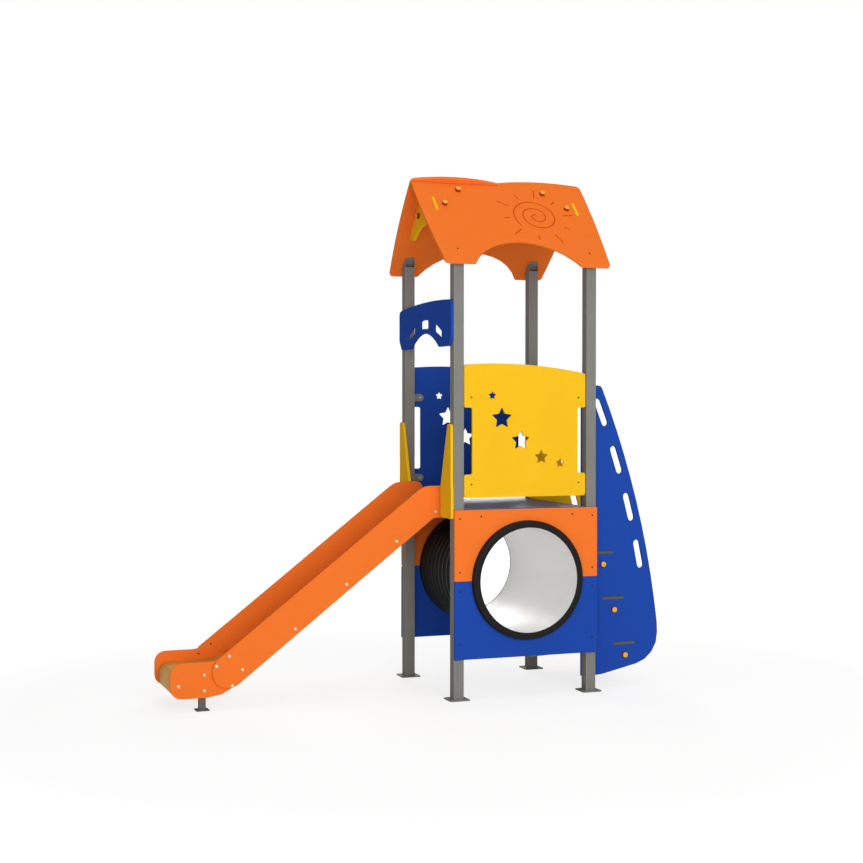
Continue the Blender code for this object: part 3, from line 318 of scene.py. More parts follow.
def powderCoat(name, finish):
    # steel with a fine-textured grey powder coat: even, matt, with a faint metallic fleck and corners painted
    # paler as rub wear and as painted highlight
    colour = finish["colour"]
    material = newMaterial(name, ior=finish["ior"], specular=finish["specular"])
    place = onObject(material)
    cloud = noise(material, place, finish["cloud"], detail=4.0)
    fleck = noise(material, place, finish["fleck"], detail=1.0)
    peel = noise(material, place, finish["peel"], detail=2.0)
    base = tinted(material, cloud, colour, finish["tint"])
    spark = spread(material, fleck, (0.0, finish["fleckShare"]), finish["fleckReach"])
    flecked = blend(material, spark, base, shaded(colour, finish["fleckTint"]))
    rimWornAndLit = blend(material, rubbedRim(material, cloud), flecked, shaded(colour, finish["rimTint"]))
    matt = spread(material, cloud, finish["roughness"])
    return wireUp(material, rimWornAndLit, matt, peel, finish["relief"])


zincFinish = {
    "colour": "#A9ABA8",
    "tint": (0.70, 1.05),        # from one crystal to the next
    "spangle": 16.0,             # mm across one zinc crystal
    "film": 4.0,                 # mm
    "roughness": (0.38, 0.58),
    "relief": (0.0001, 0.3),
}


def galvanised(name, finish):
    # hot-dip galvanised steel: dull grey metal with faint crystals
    material = newMaterial(name, metallic=1.0)
    place = onObject(material)
    sockets = {"Vector": place, "Scale": perMetre(finish["spangle"])}
    crystal = addNode(material, "ShaderNodeTexVoronoi", sockets)
    grey = addNode(material, "ShaderNodeSeparateColor", {"Color": crystal.outputs["Color"]})
    film = noise(material, place, finish["film"], detail=3.0)
    tone = tinted(material, grey.outputs[0], finish["colour"], finish["tint"])
    dull = spread(material, grey.outputs[1], finish["roughness"])
    return wireUp(material, tone, dull, film, finish["relief"])


chuteFinish = {
    # golden: a painted reflection of the orange side boards on the steel
    "colour": "#D29C42",
    "edgeTint": "#E6C48A",       # the colour that the sheet reflects at a grazing angle, painted golden as a reflection of the orange side boards
    "tint": (0.82, 1.10),
    "metallic": 0.2,             # the brushed steel scatters more than it mirrors, so that its painted golden reflection shows as a tone
    "specular": 0.25,
    "streak": 1.2,               # mm between brush lines, drawn coarser than the real 0.2 mm
    "streakLength": 220.0,
    "track": 300.0,              # mm, where sliding has polished it
    "roughness": (0.44, 0.58),
    "roughReach": (0.6, 1.4),    # of streak and track together
    "relief": (0.00005, 0.25),
    "slope": 37.8,               # degrees
}


def brushedStainless(name, finish):
    # stainless sheet brushed along the slide, its colour painted golden as a reflection of the orange side
    # boards: a soft sheen that runs with the brush lines
    material = newMaterial(name, metallic=finish["metallic"], specular=finish["specular"])
    shader = material.node_tree.nodes["Principled BSDF"]
    shader.inputs["Specular Tint"].default_value = toLinear(finish["edgeTint"])
    place = onObject(material)
    along, across = perMetre(finish["streakLength"]), perMetre(finish["streak"])
    sockets = {"Vector": place, "Rotation": (0.0, math.radians(finish["slope"]), 0.0),
               "Scale": (along, across, across)}
    laid = addNode(material, "ShaderNodeMapping", sockets).outputs[0]
    streak = noise(material, laid, 1000.0, detail=3.0)       # the mapping has scaled it already
    track = noise(material, place, finish["track"], detail=2.0)
    tone = tinted(material, streak, finish["colour"], finish["tint"])
    both = combine(material, "ADD", streak, track)
    gloss = spread(material, both, finish["roughness"], finish["roughReach"])
    return wireUp(material, tone, gloss, streak, finish["relief"])


def mouldedPlastic(name, hexColour, grain, roughness, relief=0.0002, tint=(0.90, 1.08), specular=0.2):
    # injection or rotational moulding: a fine even skin and a slightly cloudy colour, 40 grains to a cloud
    material = newMaterial(name, ior=1.5, specular=specular)
    place = onObject(material)
    cloud = noise(material, place, grain * 40, detail=4.0)
    skin = noise(material, place, grain, detail=2.0)
    tone = tinted(material, cloud, hexColour, tint)
    gloss = spread(material, cloud, roughness, reach=(0.3, 0.7))
    return wireUp(material, tone, gloss, skin, (relief, 0.35))


deckFinish = {
    "colour": "#66697C",
    "tint": (0.80, 1.15),
    "mesh": 12.0,                # mm between the pressed anti-slip lines, drawn coarser than the real 5 mm
    "meshTurn": 45,              # degrees
    "wear": 180.0,               # mm
    "roughness": (0.55, 0.38),   # between the lines and on them
    "relief": (0.0006, 0.5),
    "ior": 1.5,
    "specular": 0.03,
}


def antiSlipDeck(name, finish):
    # film-faced deck board with a pressed wire-mesh pattern: grey, satin on the lines, dull between
    material = newMaterial(name, ior=finish["ior"], specular=finish["specular"])
    place = onObject(material)
    sockets = {"Vector": place, "Rotation": (0.0, 0.0, math.radians(finish["meshTurn"]))}
    turned = addNode(material, "ShaderNodeMapping", sockets).outputs[0]
    # a wave's bands repeat 20 / (2 pi) times for a scale of 1, so the scale is worked back from the pitch
    sockets = {"Vector": turned, "Scale": perMetre(finish["mesh"]) * math.pi / 10}
    bands = [addNode(material, "ShaderNodeTexWave", sockets, wave_type="BANDS", bands_direction=direction)
             for direction in ("X", "Y")]
    mesh = combine(material, "MAXIMUM", bands[0].outputs["Fac"], bands[1].outputs["Fac"])
    worn = noise(material, place, finish["wear"], detail=6.0)
    tone = tinted(material, worn, finish["colour"], finish["tint"])
    shine = spread(material, mesh, finish["roughness"])
    return wireUp(material, tone, shine, mesh, finish["relief"])


def bareMetal(name, hexColour, roughness, grain=1.5, tint=(0.80, 1.15)):
    # turned or pressed fastener metal: bright, with fine handling marks
    material = newMaterial(name, metallic=1.0)
    marks = noise(material, onObject(material), grain, detail=4.0)
    tone = tinted(material, marks, hexColour, tint)
    gloss = spread(material, marks, roughness)
    return wireUp(material, tone, gloss, marks, (0.00005, 0.3))


orangeBoard = hdpeBoard("orangeHdpe", boardFinish["orange"])
yellowBoard = hdpeBoard("yellowHdpe", boardFinish["yellow"])
blueBoard = hdpeBoard("blueHdpe", boardFinish["blue"])
# the groove's tone is darkened as painted shade in the routed recess
orangeRoutedShaded = routedBoard("orangeHdpeRouted", boardFinish["orangeCut"])
greySteel = powderCoat("greyPowderCoat", postFinish)
zinc = galvanised("galvanisedSteel", zincFinish)
stainlessSheet = brushedStainless("brushedStainless", chuteFinish)
blackRing = mouldedPlastic("blackMouldedRubber", "#201F1D", 1.6, (0.38, 0.52), specular=0.06)
blackPipe = mouldedPlastic("blackCorrugatedPolyethylene", "#141413", 2.0, (0.28, 0.40), specular=0.12)
whiteLining = mouldedPlastic("whitePolyethylene", "#FAF9F7", 2.4, (0.34, 0.48), tint=(0.97, 1.0))
redNylon = mouldedPlastic("redNylon", "#A81F0C", 0.8, (0.26, 0.34), relief=0.00005, specular=0.2)
yellowNylon = mouldedPlastic("yellowNylon", "#F4B12C", 0.8, (0.22, 0.30), relief=0.00005, specular=0.25)
greyDeck = antiSlipDeck("greyAntiSlipDeck", deckFinish)
darkTread = mouldedPlastic("darkAntiSlipTread", "#5A5A54", 1.8, (0.55, 0.72), relief=0.0004,
                           tint=(0.75, 1.15))
darkPaint = powderCoat("darkGreyPowderCoat", dict(postFinish, colour=postFinish["footColour"]))
brightSteel = bareMetal("stainlessFastener", "#CFC6B2", (0.20, 0.34))
darkSteel = bareMetal("darkZincFastener", "#37332E", (0.34, 0.48))
print("materials made")


# boards and posts: a merged copy of the CAD node with its rims rounded

rims = {
    "radius": 0.0022,        # a router's round on the boards
    "chamferShare": 0.45,    # the CAD's own chamfers only need their corners softened
    "steelRadius": 0.0012,
    "smooth": 52,            # degrees: a rim of two steps turns 45 between them
    "merge": 3e-4,           # metres, also closes the sliver where two arcs meet
    "flatTurn": 0.4,         # degrees below which two faces are one
    "rimTurn": 70,           # degrees above which an edge gets the whole round
    "chamferTurn": 35,
    "slant": (0.3, 0.9),     # cosines to the broad face between which a face is a chamfer
    "skinSlot": 0,
    "rimSlot": 2,            # slot 1 is what a router has cut
}


def dressCopy(nodeName, name, material, radius, cutters=(), cutMaterial=None, inCut=None):
    # inCut tells which places the cutters touch, where the edges stay sharp
    piece = bpy.data.objects.new(name, nodes[nodeName].data.copy())
    bpy.context.scene.collection.objects.link(piece)
    piece.data.materials.clear()
    piece.data.materials.append(material)
    editAll(piece)
    bpy.ops.mesh.remove_doubles(threshold=rims["merge"])
    bpy.ops.mesh.dissolve_limited(angle_limit=math.radians(rims["flatTurn"]))
    bpy.ops.object.mode_set(mode="OBJECT")

    for cutter in cutters:
        applyModifier(piece, "BOOLEAN", operation="DIFFERENCE", object=cutter, solver="EXACT",
                      material_mode="TRANSFER" if cutMaterial else "INDEX")

    mesh = bmesh.new()
    mesh.from_mesh(piece.data)
    piece.data.materials.append(material)
    if not cutMaterial:
        piece.data.materials.append(material)
    skinSlot, rimSlot = rims["skinSlot"], rims["rimSlot"]
    broad = max(mesh.faces, key=lambda face: face.calc_area()).normal.copy()
    least, most = rims["slant"]
    for face in mesh.faces:
        if face.material_index == skinSlot and least < abs(face.normal.dot(broad)) < most:
            face.material_index = rimSlot
    weight = mesh.edges.layers.float.new("bevel_weight_edge")
    for edge in mesh.edges:
        turn = math.degrees(edge.calc_face_angle(0.0))
        if turn > rims["rimTurn"]:
            edge[weight] = 1.0
        elif turn > rims["chamferTurn"]:
            edge[weight] = rims["chamferShare"]
        if inCut and any(inCut(vertex.co) for vertex in edge.verts):
            edge[weight] = 0.0
    mesh.to_mesh(piece.data)
    mesh.free()
    applyModifier(piece, "BEVEL", width=radius, segments=2, limit_method="WEIGHT", use_clamp_overlap=False,
                  material=rimSlot, miter_outer="MITER_SHARP")

    # the rounded rims become a vertex attribute that the finishes read to paint them paler, as rub wear and
    # as painted highlight
    mesh = bmesh.new()
    mesh.from_mesh(piece.data)
    rim = mesh.verts.layers.float.new("rimRub")
    for vertex in mesh.verts:
        vertex[rim] = float(all(face.material_index == rimSlot for face in vertex.link_faces))
    for face in mesh.faces:
        if face.material_index == rimSlot:
            face.material_index = skinSlot
    mesh.to_mesh(piece.data)
    mesh.free()
    pick(piece)
    bpy.ops.object.shade_smooth_by_angle(angle=math.radians(rims["smooth"]))
    applyModifier(piece, "WEIGHTED_NORMAL", keep_sharp=True, weight=100)
    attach(piece, "root")
    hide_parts(nodeName)


# sun carved in the roof: a plain Archimedean spiral with evenly laid rays
sun = {
    "fromMiddle": 0.189,     # along the ridge from the board's middle
    "down": 0.325,           # down the slope from the ridge
    "turns": 2.6,
    "steps": 90,
    "firstStep": 6,          # the first turn starts clear of its own middle
    "spiralRadius": 0.165,
    "rays": 10,
    "firstRay": 42.0,        # degrees from the ridge
    "rayFrom": 0.194,
    "rayEnds": (0.235, 0.275),    # short and long rays take turns
    "cutter": 0.0052,        # radius of the ball-nosed router bit
    "margin": 0.02,          # beyond the rays, where edges aren't rounded
}
roof = {
    "ridge": 3.314,
    "pitch": 46.25,          # degrees
}


def roofPoint(alongRidge, down, side):
    # a point on a board's outer face; side is -1 on the front board and 1 on the back one, whose own
    # right is the tower's left
    pitch = math.radians(roof["pitch"])
    across = down * math.cos(pitch)
    height = roof["ridge"] - down * math.sin(pitch)
    return Vector((tower["middle"] - side * alongRidge, tower["middle"] + side * across, height))


def sunCutter(side):
    spiral = []
    for i in range(sun["firstStep"], sun["steps"] + 1):
        turn = 2 * math.pi * sun["turns"] * i / sun["steps"]
        reach = sun["spiralRadius"] * i / sun["steps"]
        spiral.append((reach * math.cos(turn), reach * math.sin(turn)))
    lines = [spiral]
    for k in range(sun["rays"]):
        turn = math.radians(sun["firstRay"] + 360 * k / sun["rays"])
        ends = (sun["rayFrom"], sun["rayEnds"][k % 2])
        lines.append([(reach * math.cos(turn), reach * math.sin(turn)) for reach in ends])
    curve = bpy.data.curves.new("sunLines", "CURVE")
    curve.dimensions = "3D"
    curve.bevel_depth = sun["cutter"]
    curve.bevel_resolution = 2
    curve.use_fill_caps = True
    for line in lines:
        spline = curve.splines.new("POLY")
        spline.points.add(len(line) - 1)
        for point, (a, b) in zip(spline.points, line):
            place = roofPoint(sun["fromMiddle"] + a, sun["down"] - b, side)
            point.co = (*place, 1.0)
    cutter = bpy.data.objects.new("sunCutter", curve)
    bpy.context.scene.collection.objects.link(cutter)
    pick(cutter)
    bpy.ops.object.convert(target="MESH")
    cutter = bpy.context.object
    cutter.data.materials.clear()
    cutter.data.materials.append(orangeRoutedShaded)
    return cutter


def dropTools(*tools):
    clearSelection()
    for tool in tools:
        tool.select_set(True)
    bpy.ops.object.delete()


for side, word in ((-1, "Front"), (1, "Back")):
    tool = sunCutter(side)
    centre = roofPoint(sun["fromMiddle"], sun["down"], side)
    dressCopy("roof_board_" + word.lower(), "roofBoard" + word, orangeBoard, rims["radius"],
              cutters=(tool,), cutMaterial=orangeRoutedShaded,
              inCut=lambda point: (point - centre).length < max(sun["rayEnds"]) + sun["margin"])
    dropTools(tool)
print("roof boards carved")

boardCopies = (
    ("front_panel_upper", "frontPanelUpper", orangeBoard, "board_orange"),
    ("front_panel_lower", "frontPanelLower", blueBoard, "board_blue"),
    ("back_panel_upper", "backPanelUpper", orangeBoard, "board_orange"),
    ("back_panel_lower", "backPanelLower", blueBoard, "board_blue"),
    ("barrier_front", "barrierFront", yellowBoard, "board_yellow"),
    ("barrier_back", "barrierBack", blueBoard, "board_blue"),
    ("entry_arch", "entryArch", blueBoard, "board_blue"),
    ("slide_guard_near", "slideGuardNear", yellowBoard, "board_yellow"),
    ("slide_guard_far", "slideGuardFar", yellowBoard, "board_yellow"),
    ("slide_side_near", "slideSideNear", orangeBoard, "board_orange"),
    ("slide_side_far", "slideSideFar", orangeBoard, "board_orange"),
    ("slide_end_near", "slideEndNear", orangeBoard, "board_orange"),
    ("slide_end_far", "slideEndFar", orangeBoard, "board_orange"),
    ("climber_side_near", "climberSideNear", blueBoard, "board_blue"),
    ("climber_side_far", "climberSideFar", yellowBoard, "board_yellow"),
    ("gable_brace_left", "gableBraceLeft", yellowBoard, "board_yellow"),
    ("gable_brace_right", "gableBraceRight", yellowBoard, "board_yellow"),
)
for nodeName, name, material, slot in boardCopies:
    dressCopy(nodeName, name, material, rims["radius"])
dressCopy("platform_deck", "platformDeckBoard", greyDeck, rims["radius"])
for nodeName in ("post_front_left", "post_front_right", "post_back_left", "post_back_right"):
    words = nodeName.split("_")
    dressCopy(nodeName, words[0] + words[1].title() + words[2].title(), greySteel,
              rims["steelRadius"])
print("boards and posts rounded")


# treads: anti-slip grooves are cut along each tread's top

tread = {
    "grooveWidth": 0.004,
    "grooveDepth": 0.0016,
    "pitch": 0.010,
    "cutterLength": 0.90,
    "topBand": 0.003,        # below the top, where the grooves' edges stay sharp
}
for number in (1, 2, 3):
    nodeName = "tread_" + str(number)
    low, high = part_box(nodeName)
    middle = (low + high) / 2
    tools = []
    count = int((high.x - low.x - tread["pitch"]) / tread["pitch"])
    for i in range(count):
        x = middle.x + (i - (count - 1) / 2) * tread["pitch"]
        clearSelection()
        bpy.ops.mesh.primitive_cube_add(size=1.0, location=(x, middle.y, high.z))
        tool = bpy.context.object
        tool.scale = (tread["grooveWidth"], tread["cutterLength"], 2 * tread["grooveDepth"])
        bpy.ops.object.transform_apply(location=True, rotation=True, scale=True)
        tools.append(tool)
    pick(tools[0])
    for tool in tools:
        tool.select_set(True)
    bpy.ops.object.join()
    dressCopy(nodeName, "treadBoard" + str(number), darkTread, rims["steelRadius"],
              cutters=(tools[0],), inCut=lambda point: point.z > high.z - tread["topBand"])
    dropTools(tools[0])
print("treads grooved")


# crawl tunnel: corrugated pipe, smooth lining and a moulded ring round each mouth

tunnel = {
    "height": 0.744,
    "bore": 0.335,
    "liningOuter": 0.3385,
    "liningPast": 0.0335,    # how far the lining runs past each panel, into the ring
    "ringLip": 0.0040,       # the ring's front edge laps the lining's end
    "lipBore": 0.3325,
    "pipeBore": 0.3388,      # the ring's too
    "root": 0.3448,
    "crest": 0.3708,
    "ribs": 14,
    "plainEnd": 0.019,       # length without ribs where the pipe passes through a panel
    "crestShare": 0.42,
    "rootShare": 0.66,
    # half a rib from root to crest: which half width, metres added to it, share of the rise
    "ribSide": (("rootShare", 0.002, 0.0), ("rootShare", 0.0, 0.10),
                ("crestShare", 0.001, 0.84), ("crestShare", -0.004, 1.0)),
    "ringRadius": 0.3773,
    "ringHeight": 0.038,
    "ringGap": 0.0003,
    "ringStraight": 0.66,    # share of the ring's height below the outer shoulder
    "shoulder": 0.34,        # outer shoulder, a quarter of an ellipse, as a share of height and width
    "shoulderSteps": 8,
    "innerShoulder": 0.06,
    "innerSteps": 5,
    "steps": 128,
}
tunnelLength = tower["backFace"] - tower["frontFace"]
tunnelStart = (tower["middle"], tower["frontFace"], tunnel["height"])

outside = [(tunnel["root"], 0.0)]
pitch = (tunnelLength - 2 * tunnel["plainEnd"]) / tunnel["ribs"]
rise = tunnel["crest"] - tunnel["root"]
halfRib = [(tunnel[width] / 2 * pitch + extra, share) for width, extra, share in tunnel["ribSide"]]
for i in range(tunnel["ribs"]):
    ribCentre = tunnel["plainEnd"] + (i + 0.5) * pitch
    outside += [(tunnel["root"] + rise * share, ribCentre - half) for half, share in halfRib]
    outside += [(tunnel["root"] + rise * share, ribCentre + half) for half, share in reversed(halfRib)]
outside += [(tunnel["root"], tunnelLength), (tunnel["pipeBore"], tunnelLength), (tunnel["pipeBore"], 0.0),
            (tunnel["root"], 0.0)]
pipe = turnedPiece(outside, tunnelStart, (0, 1, 0), (0, 0, 1), tunnel["steps"])
finishPiece(pipe, "tunnelPipeCorrugated", blackPipe, ("tunnel_pipe",), smooth=60)

past = tunnel["liningPast"]
liningProfile = [(tunnel["liningOuter"], -past), (tunnel["liningOuter"], tunnelLength + past),
                 (tunnel["bore"], tunnelLength + past), (tunnel["bore"], -past),
                 (tunnel["liningOuter"], -past)]
lining = turnedPiece(liningProfile, tunnelStart, (0, 1, 0), (0, 0, 1), tunnel["steps"])
finishPiece(lining, "tunnelLiningSmooth", whiteLining, ("tunnel_lining",))

ringWidth = tunnel["ringRadius"] - tunnel["lipBore"]
ringHeight = tunnel["ringHeight"]
lipFoot = ringHeight - tunnel["ringLip"]
straight, shoulder, innerShoulder = tunnel["ringStraight"], tunnel["shoulder"], tunnel["innerShoulder"]
nose = [(tunnel["pipeBore"], 0.0), (tunnel["ringRadius"], 0.0), (tunnel["ringRadius"], ringHeight * straight)]
for k in range(1, tunnel["shoulderSteps"] + 1):
    turn = math.pi / 2 * k / tunnel["shoulderSteps"]
    nose.append((tunnel["ringRadius"] - ringWidth * shoulder * (1 - math.cos(turn)),
                 ringHeight * (straight + shoulder * math.sin(turn))))
for k in range(1, tunnel["innerSteps"] + 1):
    turn = math.pi / 2 * k / tunnel["innerSteps"]
    nose.append((tunnel["lipBore"] + ringWidth * innerShoulder * (1 - math.sin(turn)),
                 ringHeight * (1.0 - innerShoulder * (1 - math.cos(turn)))))
nose += [(tunnel["lipBore"], lipFoot), (tunnel["pipeBore"], lipFoot), (tunnel["pipeBore"], 0.0)]
for word, y, outward in (("Front", tower["frontFace"] - tunnel["ringGap"], -1),
                         ("Back", tower["backFace"] + tunnel["ringGap"], 1)):
    centre = (tower["middle"], y, tunnel["height"])
    ring = turnedPiece(nose, centre, (0, outward, 0), (0, 0, 1), tunnel["steps"])
    finishPiece(ring, "tunnelRing" + word + "Moulded", blackRing,
                ("tunnel_ring_" + word.lower(),), smooth=40)
print("tunnel turned")


# slide chute: the folded section is drawn once, then extruded and spun along the slide's line

chute = {
    "start": 0.035,          # X of its upper end
    "deck": 1.200,
    "line": 1.2699,          # height of the sloping floor's line at X = 0
    "slope": 37.8,           # degrees
    "topBend": 0.280,
    "topSteps": 14,
    "footBend": 0.450,
    "footSteps": 20,
    "runOut": 0.228,
    "front": -1.7460,
    "roll": 0.050,
    "rollSteps": 12,
    "rollBottom": 0.100,
    "halfWide": 0.2667,
    "halfNarrow": 0.2484,
    "narrowFrom": -1.290,
    "sheet": 0.003,
    "flange": 0.025,
    "foldRadius": 0.0012,
    "foldTurn": 50,          # degrees
}


def makeChute():
    y = tower["middle"]
    half, inner = chute["halfWide"], chute["halfWide"] - chute["sheet"]
    section = [(-half, 0.0), (half, 0.0), (half, -chute["flange"]), (inner, -chute["flange"]),
               (inner, -chute["sheet"]), (-inner, -chute["sheet"]), (-inner, -chute["flange"]),
               (-half, -chute["flange"]), (-half, 0.0)]
    piece = drawLine([Vector((chute["start"], y + a, chute["deck"] + b)) for a, b in section])
    bpy.ops.mesh.remove_doubles(threshold=samePoint)

    slope = math.radians(chute["slope"])
    fall = math.tan(slope)
    bendLength = chute["topBend"] * math.tan(slope / 2)
    footLength = chute["footBend"] * math.tan(slope / 2)
    topCorner = (chute["deck"] - chute["line"]) / fall
    footCorner = (chute["runOut"] - chute["line"]) / fall
    topStart = topCorner + bendLength
    slopeStart = Vector((topCorner - bendLength * math.cos(slope), 0,
                         chute["deck"] - bendLength * math.sin(slope)))
    slopeEnd = Vector((footCorner + footLength * math.cos(slope), 0,
                       chute["runOut"] + footLength * math.sin(slope)))
    footEnd = footCorner - footLength
    rollStart = chute["front"] + chute["roll"]

    def pull(vector):
        bpy.ops.mesh.extrude_region_move(TRANSFORM_OT_translate={"value": vector})

    def bend(centreX, centreZ, degrees, steps):
        bpy.ops.mesh.spin(steps=steps, angle=math.radians(degrees), center=(centreX, y, centreZ),
                          axis=(0, 1, 0))

    pull((topStart - chute["start"], 0, 0))
    bend(topStart, chute["deck"] - chute["topBend"], chute["slope"], chute["topSteps"])
    pull(slopeEnd - slopeStart)
    bend(footEnd, chute["runOut"] + chute["footBend"], -chute["slope"], chute["footSteps"])
    pull((rollStart - footEnd, 0, 0))
    bend(rollStart, chute["runOut"] - chute["roll"], 90, chute["rollSteps"])
    pull((0, 0, chute["rollBottom"] - (chute["runOut"] - chute["roll"])))
    bpy.ops.mesh.edge_face_add()
    chooseVertices(piece, lambda point: abs(point.x - chute["start"]) < samePoint)
    bpy.ops.mesh.edge_face_add()
    # between the end boards the trough is narrower
    chooseVertices(piece, lambda point: point.x < chute["narrowFrom"])
    narrowing = chute["halfNarrow"] / chute["halfWide"]
    bpy.ops.transform.resize(value=(1, narrowing, 1), center_override=(0, y, 0))
    bpy.ops.mesh.select_all(action="SELECT")
    bpy.ops.mesh.normals_make_consistent(inside=False)
    bpy.ops.object.mode_set(mode="OBJECT")
    applyModifier(piece, "BEVEL", width=chute["foldRadius"], segments=2, limit_method="ANGLE",
                  angle_limit=math.radians(chute["foldTurn"]))
    finishPiece(piece, "slideChuteSheet", stainlessSheet, ("slide_chute",), smooth=40)


makeChute()
print("chute folded")


# caps over the bolts: a red nylon body with a yellow domed cover

cap = {
    "radius": 0.018,
    "height": 0.024,
    "seam": 0.0185,          # height at which the cover meets the body
    "bodyEdge": 0.0012,
    # the cover's outline: in from the radius and up from the seam, then in and down from the top
    "coverFoot": ((0.0022, 0.0), (0.0010, 0.0008)),
    "coverDome": ((0.0008, 0.0032), (0.0020, 0.0018), (0.0050, 0.0008), (0.0100, 0.0002)),
    "steps": 40,
}


def capMaster():
    radius, seam, height, edge = cap["radius"], cap["seam"], cap["height"], cap["bodyEdge"]
    upright = ((0, 0, 0), (0, 0, 1), (1, 0, 0), cap["steps"])
    outline = [(0.0, 0.0), (radius, 0.0), (radius, seam - edge), (radius - edge, seam), (0.0, seam)]
    body = turnedPiece(outline, *upright)
    body.data.materials.append(redNylon)
    outline = [(0.0, seam)]
    outline += [(radius - inward, seam + up) for inward, up in cap["coverFoot"]]
    outline += [(radius - inward, height - down) for inward, down in cap["coverDome"]]
    outline += [(0.0, height)]
    cover = turnedPiece(outline, *upright)
    cover.data.materials.append(yellowNylon)
    pick(body)
    cover.select_set(True)
    bpy.ops.object.join()
    return body


capTool = capMaster()
pitchTurn = math.radians(roof["pitch"])
outwardFront = Vector((0, -math.sin(pitchTurn), math.cos(pitchTurn)))
outwardBack = Vector((0, math.sin(pitchTurn), math.cos(pitchTurn)))
capFacing = {"tread_cap_near": Vector((0, -1, 0)), "tread_cap_far": Vector((0, 1, 0)),
             "brace_cap_left": Vector((-1, 0, 0)), "brace_cap_right": Vector((1, 0, 0)),
             "roof_cap_front": outwardFront, "roof_cap_back": outwardBack}
for nodeName in sorted(nodes):
    for start, facing in capFacing.items():
        if nodeName.startswith(start):
            low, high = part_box(nodeName)
            base = (low + high) / 2 - facing * cap["height"] / 2
            placeCopies(capTool, nodeName.replace("_cap_", "Cap_"), [(base, facing)], None,
                        (nodeName,))
dropTools(capTool)
print("caps placed")


# screws and bolts

fastener = {
    "screwHead": 0.0115,
    "screwHeight": 0.0030,
    "screwSocket": 0.0050,
    "boltHead": 0.0150,
    "boltHeight": 0.0060,
    "boltSocket": 0.0060,
    "washer": 0.0185,
    "washerHeight": 0.0014,
    "washerEdge": 0.3,
    "upright": 0.35,         # share of a head's height below the dome
    # the dome's steps: inset as a share of the radius, lift as a share of the height
    "dome": ((0.08, 0.28), (0.10, 0.20), (0.12, 0.12), (0.08, 0.05)),
    # where they sit: x and z, and for each side the y of the faces and which way they look
    "panelHeights": (1.142, 0.806, 0.686, 0.355),
    "panelTop": ((0.142, 1.153), (0.772, 1.153)),
    "barrierAcross": (0.087, 0.827),
    "barrierHeights": (1.353, 1.899),
    # outer and inner face
    "barrierFaces": (("Front", -0.0280, -0.0037, -1), ("Back", 0.9420, 0.9177, 1)),
    "roofDown": 0.673,
    "roofAcross": (-0.456, 0.456),
    "slideSide": ((-0.075, 1.172), (-0.338, 0.992), (-0.668, 0.733), (-0.999, 0.471),
                  (-1.412, 0.327), (-1.492, 0.269), (-1.332, 0.240), (-1.394, 0.145)),
    "slideEnd": ((-1.563, 0.218), (-1.563, 0.123), (-1.719, 0.157)),
    "slideInner": ((-1.412, 0.327), (-1.492, 0.269)),
    # side board, end board and the end board's inner face
    "slideFaces": (("Near", 0.1720, 0.1903, 0.2083, -1), ("Far", 0.7420, 0.7237, 0.7057, 1)),
}


def buttonHead(width, height, socket, washer=None):
    # a domed head: a cylinder whose top is inset and lifted step by step, with a hexagon socket cut in it
    clearSelection()
    base = fastener["washerHeight"] if washer else 0.0
    upright = height * fastener["upright"]
    bpy.ops.mesh.primitive_cylinder_add(vertices=24, radius=width / 2, depth=upright,
                                        location=(0, 0, base + upright / 2))
    head = bpy.context.object
    bpy.ops.object.transform_apply(location=True, rotation=True, scale=True)
    bpy.ops.object.mode_set(mode="EDIT")
    bpy.ops.mesh.select_mode(type="FACE")
    chooseFaces(head, lambda face: face.normal.z > 0.9)
    for inset, lift in fastener["dome"]:
        bpy.ops.mesh.inset(thickness=width / 2 * inset, depth=0.0)
        bpy.ops.transform.translate(value=(0, 0, height * lift))
    bpy.ops.object.mode_set(mode="OBJECT")
    clearSelection()
    bpy.ops.mesh.primitive_cylinder_add(vertices=6, radius=socket / 2, depth=height,
                                        location=(0, 0, base + height))
    key = bpy.context.object
    applyModifier(head, "BOOLEAN", operation="DIFFERENCE", object=key, solver="EXACT")
    dropTools(key)
    if washer:
        clearSelection()
        bpy.ops.mesh.primitive_cylinder_add(vertices=32, radius=washer / 2, depth=base,
                                            location=(0, 0, base / 2))
        disc = bpy.context.object
        bpy.ops.object.transform_apply(location=True, rotation=True, scale=True)
        applyModifier(disc, "BEVEL", width=base * fastener["washerEdge"], segments=2, limit_method="ANGLE",
                      angle_limit=math.radians(40))
        pick(head)
        disc.select_set(True)
        bpy.ops.object.join()
    return head


panelScrew = buttonHead(fastener["screwHead"], fastener["screwHeight"], fastener["screwSocket"])
slideBolt = buttonHead(fastener["boltHead"], fastener["boltHeight"], fastener["boltSocket"],
                       fastener["washer"])


def screwRow(tool, name, places, y, facing, material):
    # places are (x, z) on a face at y, and facing is -1 to the front and 1 to the back
    placeCopies(tool, name, [((x, y, z), (0, facing, 0)) for x, z in places], material)


panelPlaces = [(x, z) for x in (0.0, tower["postRight"]) for z in fastener["panelHeights"]]
panelPlaces += fastener["panelTop"]
for word, y, facing in (("Front", tower["frontFace"], -1), ("Back", tower["backFace"], 1)):
    screwRow(panelScrew, "panelScrews" + word, panelPlaces, y, facing, darkSteel)

barrierPlaces = [(x, z) for x in fastener["barrierAcross"] for z in fastener["barrierHeights"]]
for word, outer, inner, facing in fastener["barrierFaces"]:
    screwRow(panelScrew, "barrierScrews" + word, barrierPlaces, outer, facing, darkSteel)
    screwRow(panelScrew, "barrierNuts" + word, barrierPlaces, inner, -facing, brightSteel)

roofPlaces = [(roofPoint(x, fastener["roofDown"], side), facing)
              for side, facing in ((-1, outwardFront), (1, outwardBack)) for x in fastener["roofAcross"]]
placeCopies(panelScrew, "roofScrews", roofPlaces, darkSteel)

